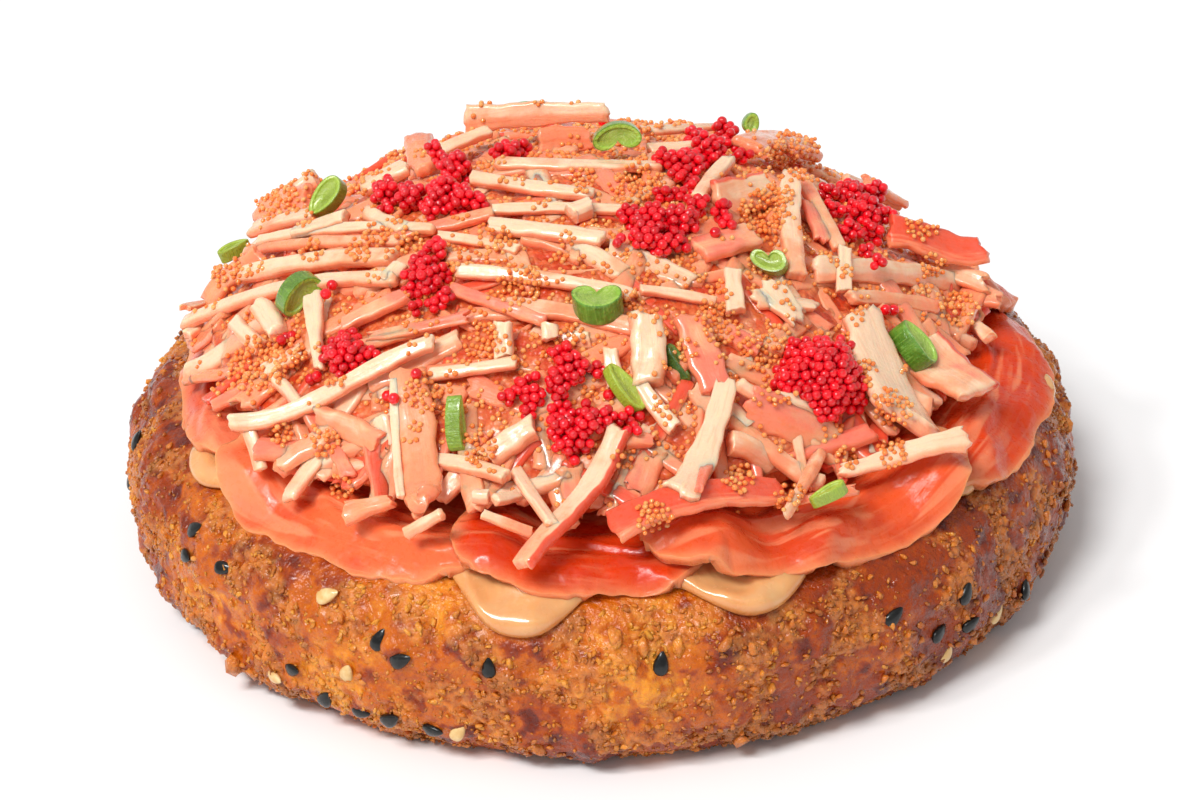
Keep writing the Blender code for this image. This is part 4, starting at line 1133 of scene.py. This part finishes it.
def layStrip(shape, first, last, width, form, look, lifts, draw):
    # bends the unit strip over the heap between two places, and tones it
    def play(what):
        return draw.uniform(-stripPlay[what], stripPlay[what])

    firstScale, lastScale, thickShare, mostThick, fray, roll = stripForms[form]
    soaked, _, clean = stripLooks[look]
    thick = min(width * thickShare, mostThick)
    run = last - first
    length = math.hypot(run.x, run.y, run.z)
    along = shape["points"][:, 0] + 0.5
    across = shape["points"][:, 1]
    upward = shape["points"][:, 2]
    phase = draw.uniform(0, 6.28)
    steps, lying, curve = stripRest(first, last, length, lifts)
    centre, tangent, side, up = stripCourse(first, last, along, play("bow") * length, curve)
    turn = np.radians(roll + play("roll")) + play("twist") * (along - 0.5)
    cosTurn, sinTurn = np.cos(turn)[:, None], np.sin(turn)[:, None]
    side, up = side * cosTurn + up * sinTurn, up * cosTurn - side * sinTurn

    # width and thickness, with ribs on the upper and the lower side
    scale = firstScale + (lastScale - firstScale) * along
    uneven = 1 + 0.08 * np.sin(along * length * 0.8 + phase) + 0.05 * np.sin(along * length * 2.1 + 2 * phase)
    ribs = 0.05 * np.sin(across * width * 3.1 + phase + 2 * along)
    ribs += 0.02 * np.sin(across * width * 7.3 + 3 * phase - 3 * along)
    ribs *= np.sign(upward) * (np.abs(upward) > 0.3)
    wide = across * width * scale * uneven
    high = upward * thick * (0.75 + 0.25 * scale) * (2 - uneven) + ribs

    # ends torn between the fibres
    atEnd = smoothStepMany((np.abs(along - 0.5) - 0.40) / 0.1) * np.sign(along - 0.5)
    jag = np.sin(across * width * 2.6 + phase) + 0.5 * np.sin(across * width * 7 + 2 * phase)
    jag += 0.4 * np.sin(upward * thick * 4 + phase)
    slant = play("slant") * across * width
    centre += tangent * (atEnd * (jag * fray * 0.35 + slant))[:, None]
    points = centre + side * wide[:, None] + up * high[:, None]

    # the upper side is made less pink: painted light on the tops
    pinkWithTopLight = soaked + 0.16 * np.sin(along * 4 + phase) - 0.12 * (upward > 0.3) + play("pink")
    skin = skinTone(look, across, upward, draw)
    # dressing gathers on the sides that face down and where a strip lies deep; the same tint there is also
    # painted shade, while the tops and high parts are kept light
    outward = side * across[:, None] + up * upward[:, None]
    facing = outward[:, 2] / np.maximum(np.linalg.norm(outward, axis=1), 0.01)
    above = points[:, 2] - np.interp(along, steps, lying) + (lifts[0] + lifts[1]) / 2
    bareAndLit = smoothStepMany((facing + 0.2) / 0.9) * (0.3 + 0.7 * smoothStepMany((above + 0.2) / 1.6))
    cleanAndLit = np.clip((clean + play("clean")) * bareAndLit, 0, 1)
    tone = np.stack([np.clip(pinkWithTopLight, 0, 1), skin, cleanAndLit], axis=1)
    shift = draw.uniform(0, 50)
    spots = np.stack([along * length + shift, wide + high + shift], axis=1)
    return {"shape": shape, "points": points, "tone": tone, "spots": spots}


def makeNamedStrips(material):
    shape = stripShape(21, 8, 4)
    draw = random.Random(21)
    copies = []
    for _, firstPixel, lastPixel, width, form, look, firstLift, lastLift in namedStrips:
        first, scale = heapPoint(firstPixel, firstLift)
        last = heapPoint(lastPixel, lastLift)[0]
        copies.append(layStrip(shape, first, last, width * scale, form, look, (firstLift, lastLift), draw))
    piece = joinCopies("crab_shreds_top", copies)
    return finishPiece(piece, material, "crab_shreds", "crab_salad")


def makeFillStrips(material):
    shape = stripShape(13, 4, 2)
    draw = random.Random(34)
    copies = []
    for number in range(crabFill["shreds"] + crabFill["atRim"]):
        rimmed = number >= crabFill["shreds"]
        turn = number * 2.4
        rim = heapRim(turn % (2 * math.pi))
        if rimmed:
            away = rim + draw.uniform(-2.5, 0.8)
            heading = turn + draw.gauss(0, 0.65)
        else:
            away = min(44 * math.sqrt((number + 0.5) / crabFill["shreds"]), rim)
            heading = draw.gauss(0, 0.8) + (turn if away > 34 else 0.0)
        middle = Vector((away * math.cos(turn), away * math.sin(turn), 0))
        length = draw.uniform(*crabFill["length"]) * (0.6 if rimmed else 1)
        width = draw.uniform(*crabFill["width"])
        half = Vector((math.cos(heading), math.sin(heading), 0)) * length / 2
        low, high = crabFill["lift"]
        if middle.y > 22:
            high += 1.5 if away > 33 else 0.6
            width *= 1.2
        drop = backDrop(middle.y)
        lifts = (draw.uniform(low, high) - drop, draw.uniform(low, high) - drop)
        form, look = draw.choice(crabFill["forms"]), draw.choice(crabFill["looks"])
        if rimmed and middle.y < 10:
            form, look = draw.choice(crabFill["rimForms"]), draw.choice(crabFill["rimLooks"])
            width *= 1.3
        copies.append(layStrip(shape, middle - half, middle + half, width, form, look, lifts, draw))
    piece = joinCopies("crab_shreds_low", copies)
    return finishPiece(piece, material, "crab_shreds", "crab_salad")


# Orange roe between and on the shreds

orangeRoe = {
    "radius": (0.27, 0.37),
    "scattered": 4200,
    "apart": 0.50,
    "lowest": 22,
    # clumps that stand out: pixel, radius in pixels
    "clumps": ((795, 155, 26), (637, 190, 26), (765, 212, 24), (779, 198, 16), (503, 240, 14),
               (335, 377, 12), (228, 272, 16), (278, 197, 22), (355, 186, 12), (258, 366, 30),
               (287, 352, 20), (424, 392, 20), (484, 342, 20), (572, 340, 16), (630, 304, 14),
               (687, 351, 12), (781, 388, 18), (722, 327, 20), (758, 352, 20), (864, 374, 14),
               (893, 410, 20), (893, 452, 16), (739, 478, 16), (654, 517, 18), (790, 497, 16),
               (848, 457, 12), (960, 310, 20), (706, 312, 12), (753, 212, 14), (772, 156, 16),
               (883, 178, 14), (923, 222, 18), (935, 265, 14), (584, 180, 14), (538, 99, 7),
               (492, 239, 12), (410, 243, 14), (649, 124, 14), (568, 237, 8), (362, 249, 12),
               (379, 235, 12), (314, 251, 12), (480, 449, 18), (626, 458, 12), (327, 442, 14),
               (283, 434, 12), (342, 488, 12), (212, 268, 14), (448, 272, 10), (520, 285, 22)),
}


def beadShape(segments, rings):
    bpy.ops.mesh.primitive_uv_sphere_add(segments=segments, ring_count=rings, radius=1)
    with editing():
        bpy.ops.transform.resize(value=(1.0, 0.96, 0.95))
    return readShape(bpy.context.object)


def bead(shape, centre, radius, draw):
    tone = (draw.random(), 0.5, 0.5)
    points = shape["points"] @ np.array(anyTurn(draw)).T * radius + np.array(centre)
    return {"shape": shape, "points": points, "tone": tone}


def dropTrees(pieces):
    graph = bpy.context.evaluated_depsgraph_get()
    return [BVHTree.FromObject(piece, graph) for piece in pieces]


def firstHit(trees, start, direction):
    # the nearest surface along a ray, with its normal
    hits = []
    for tree in trees:
        place, normal, _, away = tree.ray_cast((start + modelShift) * mm, direction.normalized())
        if place:
            hits.append((away, place / mm - modelShift, normal))
    return min(hits, key=lambda hit: hit[0])[1:] if hits else None


def dropPoint(trees, x, y):
    return firstHit(trees, Vector((x, y, 80)), Vector((0, 0, -1)))


def pixelHit(trees, x, y):
    return firstHit(trees, *pixelRay(x, y))


class Room:
    # keeps beads a little apart from each other
    def __init__(self, apart):
        self.apart = apart
        self.cells = {}

    def take(self, place):
        key = tuple(int(math.floor(c / self.apart)) for c in place)
        for step in itertools.product((-1, 0, 1), repeat=3):
            near = tuple(k + s for k, s in zip(key, step))
            if any((other - place).length < self.apart for other in self.cells.get(near, ())):
                return False
        self.cells.setdefault(key, []).append(place)
        return True


def makeOrangeRoe(trees, material):
    shape = beadShape(7, 4)
    draw = random.Random(55)
    room = Room(orangeRoe["apart"])
    clumped, scattered = [], []

    def lands(hit):
        return hit is not None and hit[0].z >= orangeRoe["lowest"]

    def addEgg(batch, centre, radius):
        if room.take(centre):
            batch.append(bead(shape, centre, radius, draw))

    for pixelX, pixelY, spread in orangeRoe["clumps"]:
        for _ in range(int(0.22 * spread ** 2) + 8):
            turn = draw.uniform(0, 6.28)
            away = spread * math.sqrt(draw.random())
            hit = pixelHit(trees, pixelX + away * math.cos(turn), pixelY + away * math.sin(turn))
            if lands(hit):
                radius = draw.uniform(*orangeRoe["radius"])
                lift = draw.choice((0.1, 0.3, 1.2)) * radius
                addEgg(clumped, hit[0] + hit[1] * lift, radius)
    tries = 0
    while len(scattered) < orangeRoe["scattered"] and tries < 40000:
        tries += 1
        turn = draw.uniform(0, 2 * math.pi)
        away = (heapRim(turn) + 2.0) * math.sqrt(draw.random())
        x, y = away * math.cos(turn), away * math.sin(turn)
        patch = noise.noise(Vector((x, y, 0)) / 4.5 + Vector((8, 2, 5)))
        hit = dropPoint(trees, x, y)
        low = hit is not None and hit[0].z < restHeight(x, y) + 0.9
        if patch + (0.35 if low else -0.12) + draw.uniform(-0.1, 0.1) > 0.16 and lands(hit):
            radius = draw.uniform(*orangeRoe["radius"])
            addEgg(scattered, hit[0] + hit[1] * radius * 0.2, radius)
    for name, batch in (("orange_roe_clumps", clumped), ("orange_roe_scattered", scattered)):
        finishPiece(joinCopies(name, batch), material, "orange_roe", "crab_salad")
        print("  ", name, len(batch))


# Red roe: each cluster is a group of small mounds, given by pixel and radius in pixels

redRoe = {
    "radius": (0.54, 0.64),
    "apart": 1.04,
    "lift": 1.0,
    "ground": (0.4, 2.6),  # how high above the heap the shreds under a mound may stand
    "smallest": 0.9,
    "looseRadius": 0.68,
    "clusters": {
        "roe_back_left": ((437, 152, 11), (457, 170, 18), (387, 191, 15), (385, 208, 8), (411, 197, 15),
                          (446, 196, 20), (463, 200, 16), (429, 212, 9), (480, 203, 10)),
        "roe_back_small": ((513, 151, 13), (500, 154, 9), (524, 148, 8)),
        "roe_back_right": ((697, 137, 11), (727, 131, 12), (732, 141, 10), (664, 158, 11), (687, 166, 18),
                           (744, 158, 9), (711, 151, 18), (680, 176, 10), (694, 186, 9)),
        "roe_centre": ((666, 194, 10), (683, 197, 9), (699, 204, 11), (722, 211, 11), (729, 221, 8),
                       (654, 221, 17), (682, 222, 18), (663, 245, 12), (617, 243, 8), (630, 217, 12),
                       (647, 236, 16), (678, 242, 12)),
        "roe_right": ((831, 192, 10), (852, 196, 17), (876, 190, 11), (864, 216, 20), (890, 215, 9),
                      (852, 233, 12), (873, 233, 12), (866, 254, 9), (878, 264, 8), (836, 208, 9)),
        "roe_mid_left": ((438, 250, 11), (424, 266, 13), (443, 273, 10), (411, 274, 8), (429, 281, 17),
                         (447, 297, 8), (415, 289, 11), (414, 308, 8), (436, 305, 9)),
        "roe_left_front": ((350, 357, 22), (352, 338, 10), (338, 346, 10), (331, 355, 9), (370, 358, 10),
                           (343, 374, 10)),
        "roe_front_upper": ((556, 355, 9), (570, 352, 8), (573, 369, 18), (598, 371, 8), (558, 381, 13),
                            (534, 377, 8), (523, 388, 11), (509, 400, 9), (537, 397, 12), (530, 409, 7),
                            (562, 391, 10)),
        "roe_front_lower": ((557, 412, 9), (568, 411, 8), (584, 408, 7), (563, 429, 15), (590, 423, 15),
                            (607, 417, 9), (628, 419, 10), (634, 428, 8), (581, 441, 14), (564, 445, 8),
                            (573, 454, 8)),
        "roe_right_front": ((821, 378, 40), (797, 385, 24), (846, 392, 24), (820, 398, 28), (795, 352, 12),
                            (840, 352, 14)),
    },
    # single eggs and short rows beside the clusters
    "loose": ((283, 342), (289, 340), (295, 338), (312, 380), (320, 378), (390, 398), (396, 400),
              (418, 376), (335, 283), (301, 293), (611, 398), (640, 418), (604, 125), (886, 310),
              (892, 312), (716, 236), (323, 295)),
}


def packedSpots(centre, reach, spacing, draw):
    # close packed places in a cube about a centre, turned at random
    turn = anyTurn(draw)
    count = int(reach / spacing / 0.8) + 2
    span = range(-count, count + 1)
    spots = []
    for k, j, i in itertools.product(span, span, span):
        spot = Vector((i + 0.5 * ((j + k) % 2), (j + (k % 2) / 3) * 0.866, k * 0.816)) * spacing
        shake = Vector((draw.uniform(-1, 1), draw.uniform(-1, 1), draw.uniform(-1, 1))) * 0.13
        spots.append(centre + turn @ spot + shake)
    return spots


def moundAt(trees, pixelX, pixelY, radius):
    # a mound sits as high as the salad stands at its middle and round it
    lifts = []
    for shiftX, shiftY in ((0, 0), (0.6, 0), (-0.6, 0), (0, 0.5), (0, -0.5)):
        hit = pixelHit(trees, pixelX + shiftX * radius, pixelY + shiftY * radius)
        if hit:
            lifts.append(hit[0].z - restHeight(hit[0].x, hit[0].y))
    lowest, highest = redRoe["ground"]
    lift = min(max(sorted(lifts)[len(lifts) // 2], lowest), highest) if lifts else 1.0
    centre, scale = heapPoint((pixelX, pixelY), lift + redRoe["lift"])
    return centre, max(radius * scale, redRoe["smallest"])


def makeRedRoe(trees, material):
    shape = beadShape(10, 7)
    draw = random.Random(77)
    for name, blobs in redRoe["clusters"].items():
        mounds = [moundAt(trees, *blob) for blob in blobs]
        middle = sum((centre for centre, _ in mounds), Vector()) / len(mounds)
        reach = max((centre - middle).length + size for centre, size in mounds)
        copies = []
        for spot in packedSpots(middle, reach, redRoe["apart"], draw):
            if not any((spot - centre).length < size for centre, size in mounds):
                continue
            ground = dropPoint(trees, spot.x, spot.y)
            if ground is None or spot.z > ground[0].z - 0.25:
                copies.append(bead(shape, spot, draw.uniform(*redRoe["radius"]), draw))
        finishPiece(joinCopies(name + "_eggs", copies), material, "red_roe", name)
        print("  ", name, len(copies))
    loose = []
    for pixelX, pixelY in redRoe["loose"]:
        hit = pixelHit(trees, pixelX, pixelY)
        loose.append(bead(shape, hit[0] + hit[1] * 0.45, redRoe["looseRadius"], draw))
    finishPiece(joinCopies("red_roe_loose", loose), material, "red_roe")


# Scallion slices, as seen in the image: pixel of the middle, height over the heap, width across,
# depth as a share of it, length, the way the cut face looks (right, up, towards the camera), the
# slope of its long side in degrees, how deep it is cleft and on which side in degrees, how
# yellow it is, and how much painted shade darkens it

scallionSlices = {
    "scallion_back": ((618, 137), 2.6, 5.7, 0.60, 1.6, (0.05, -0.30, 0.95), 6, 0.86, -90, 0.3, 0.0),
    "scallion_skyline": ((752, 123), 2.4, 2.5, 0.80, 1.0, (0.25, -0.15, 0.95), 82, 0.0, 0, 0.3, 0.0),
    "scallion_left_back": ((329, 197), 2.6, 5.3, 0.56, 1.9, (-0.38, 0.28, 0.88), 52, 0.0, 0, 0.6, 0.1),
    "scallion_left": ((299, 293), 2.2, 5.6, 0.62, 2.2, (0.50, -0.42, 0.75), 38, 0.5, -90, 0.3, 0.2),
    "scallion_middle": ((598, 303), 2.3, 5.6, 0.78, 2.5, (-0.08, 0.78, 0.62), -20, 0.8, 90, 0.1, 0.1),
    "scallion_right_middle": ((771, 261), 2.0, 4.3, 0.66, 1.5, (-0.22, 0.30, 0.93), -24, 0.8, 110, 0.6, 0.15),
    "scallion_right": ((915, 347), 3.2, 5.9, 0.58, 2.5, (0.70, 0.51, 0.50), -54, 0.0, 0, 0.1, 0.05),
    "scallion_front": ((626, 389), 2.4, 6.1, 0.44, 1.3, (0.58, 0.45, 0.68), -56, 0.0, 0, 1.0, 0.0),
    "scallion_front_left": ((457, 424), 2.6, 6.0, 0.36, 1.7, (0.95, 0.05, 0.30), 92, 0.0, 0, 0.5, 0.0),
    "scallion_dark": ((677, 364), 1.3, 4.6, 0.40, 1.4, (0.75, 0.40, 0.50), -60, 0.0, 0, 0.0, 0.8),
    "scallion_low_right": ((830, 494), 1.3, 4.2, 0.40, 1.4, (-0.40, 0.80, 0.45), 26, 0.0, 0, 0.9, 0.0),
    "scallion_left_rim": ((236, 250), -1.2, 4.0, 0.40, 1.6, (-0.30, 0.75, 0.50), 25, 0.0, 0, 0.9, 0.1),
    "scallion_far_back": (None, 0.6, 5.0, 0.75, 2.0, (0.10, 0.95, -0.20), 20, 0.0, 0, 0.3, 0.2),
}


# The cut faces from the skin inwards: how thick a ring is and how deep it lies in mm, and its slot
scallionRings = ((0.13, 0.0, 1), (0.34, 0.0, 1), (0.12, -0.22, 2))


def shapeScallion(width, squash, length, cleft, cleftSide, seed):
    # a squashed ring of stalk, cleft on one side and a little uneven
    bpy.ops.mesh.primitive_cylinder_add(vertices=56, radius=width / 2, depth=length, end_fill_type="TRIFAN")
    with editing():
        cutAcross(2, 4)
    piece = bpy.context.object
    for vert in piece.data.vertices:
        angle = math.degrees(math.atan2(vert.co.y, vert.co.x))
        away = 1 + 0.04 * math.sin(math.radians(3 * angle) + seed)
        away *= 1 - cleft * math.exp(-(angleApart(angle, cleftSide) / 24) ** 2)
        vert.co.x *= away
        vert.co.y *= away * squash
        vert.co.z += 0.06 * math.sin(math.radians(2 * angle) + seed) * length
    return piece


def cutScallion(piece, width, squash):
    # skin, a light wall, and soft pulp that lies a little deeper
    bpy.ops.object.mode_set(mode="EDIT")
    bpy.context.tool_settings.mesh_select_mode = (False, False, True)
    mesh = bmesh.from_edit_mesh(piece.data)
    for face in mesh.faces:
        face.select_set(len(face.verts) == 3)
    bmesh.update_edit_mesh(piece.data)
    half = width / 2
    for wall, depth, slot in scallionRings:
        bpy.ops.mesh.inset(thickness=0.001, depth=depth)
        thinner = (1 - wall / half, 1 - wall / (half * squash), 1)
        bpy.ops.transform.resize(value=thinner, center_override=(0, 0, 0))
        mesh = bmesh.from_edit_mesh(piece.data)
        for face in mesh.faces:
            if face.select:
                face.material_index = slot
        bmesh.update_edit_mesh(piece.data)
        half -= wall
    bpy.context.tool_settings.mesh_select_mode = (True, False, False)
    bpy.ops.object.mode_set(mode="OBJECT")
    applyModifier(piece, "BEVEL", width=0.12, segments=2, limit_method="ANGLE", angle_limit=math.radians(50))


def placeScallion(name, pixel, lift, face, slope):
    # where a slice lies, and how it is turned to look as it does in the image
    facing = (viewRight * face[0] + viewUp * face[1] + viewBack * face[2]).normalized()
    along = viewRight * math.cos(math.radians(slope)) + viewUp * math.sin(math.radians(slope))
    along = (along - facing * along.dot(facing)).normalized()
    axes = Matrix((along, facing.cross(along), facing)).transposed()
    if pixel:
        centre = heapPoint(pixel, lift)[0]
    else:
        low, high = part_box(name)
        centre = (Vector(low) + Vector(high)) / 2 / mm - modelShift
        centre.z = restHeight(centre.x, centre.y) + lift
    return Matrix.Translation(centre) @ axes.to_4x4()


def makeScallion(name, materials):
    pixel, lift, width, squash, length, face, slope, cleft, cleftSide, yellow, dark = scallionSlices[name]
    piece = shapeScallion(width, squash, length, cleft, cleftSide, len(name) * 1.7)
    piece.name = name + "_slice"
    cutScallion(piece, width, squash)
    spots = [(math.atan2(v.co.y, v.co.x) * width / 2, v.co.z) for v in piece.data.vertices]
    while piece.data.uv_layers:
        piece.data.uv_layers.remove(piece.data.uv_layers[0])
    unwrap(piece.data, spots)
    # the second tone is the painted shade of the slice
    paint(piece.data, (yellow, dark, 0.5))
    piece.data.transform(placeScallion(name, pixel, lift, face, slope))
    for material in materials:
        piece.data.materials.append(material)
    finishPiece(piece, None, "scallion", name)


# Studio: pale floor and soft light

studio = {
    "sky": 0.48,
    "sun": {"strength": 2.1, "from": (-0.34, -0.50, 0.86), "softness": math.radians(20)},
    "softbox": {"place": (-0.30, -0.26, 0.46), "size": 0.07, "power": 0.8},
}


def makeStudio():
    bpy.ops.mesh.primitive_plane_add(size=8)
    floor = bpy.context.object
    floor.name = "floor"
    floor.data.materials.append(floorFinish())
    bpy.ops.object.light_add(type="SUN")
    sun = bpy.context.object
    sun.data.energy = studio["sun"]["strength"]
    sun.data.angle = studio["sun"]["softness"]
    sun.rotation_euler = Vector(studio["sun"]["from"]).to_track_quat("Z", "Y").to_euler()
    bpy.ops.object.light_add(type="AREA", location=studio["softbox"]["place"])
    lamp = bpy.context.object
    lamp.data.size = studio["softbox"]["size"]
    lamp.data.energy = studio["softbox"]["power"]
    lamp.rotation_euler = lamp.location.to_track_quat("Z", "Y").to_euler()
    world = bpy.data.worlds.new("studio")
    world.use_nodes = True
    world.node_tree.nodes["Background"].inputs["Color"].default_value = (1, 1, 1, 1)
    world.node_tree.nodes["Background"].inputs["Strength"].default_value = studio["sky"]
    bpy.context.scene.world = world
    bpy.context.scene.view_settings.view_transform = "Standard"


addCamera()
makeStudio()
print("camera, floor and lights")

crustLook = crustFinish()
makeCrust(crustLook)
makeCrumbs(crustLook)
print("crust")

makeSeeds("sesame_black", seeds["black"], seedFinish("blackSesame", "#060707", "#1C1E1D"), "black_sesame")
makeSeeds("sesame_pale", seeds["pale"], seedFinish("paleSesame", "#D9AE6C", "#EDD09A"), "pale_sesame")
print("sesame")

makeMayo(mayoFinish())
salmonLook = salmonFinish()
salmonPieces = [makeSalmon(index, salmonLook) for index in range(len(salmonSlices))]
print("mayonnaise and salmon")

crabLook = crabFinish()
crabPieces = [makeCore(sauceFinish()), makeNamedStrips(crabLook), makeFillStrips(crabLook)]
print("crab salad")

makeRedRoe(dropTrees(crabPieces), roeFinish("redRoe", "#FF0C20", "#D20414", 1.0, 0.0006))
makeOrangeRoe(dropTrees(crabPieces + salmonPieces), roeFinish("orangeRoe", "#FFB06C", "#F88842", 0.8, 0.0006))
print("roe")

scallionLooks = [
    scallionFinish("scallionSkin", "#38741A", "#5A962A", "#8ABB4C", 0.6),
    scallionFinish("scallionWall", "#8CBA3A", "#A8CC52", "#C8E07C", 0.4),
    scallionFinish("scallionPulp", "#8AB038", "#AACA54", "#CCDC8C", 0.4),
]
for name in scallionSlices:
    makeScallion(name, scallionLooks)
print("scallions")
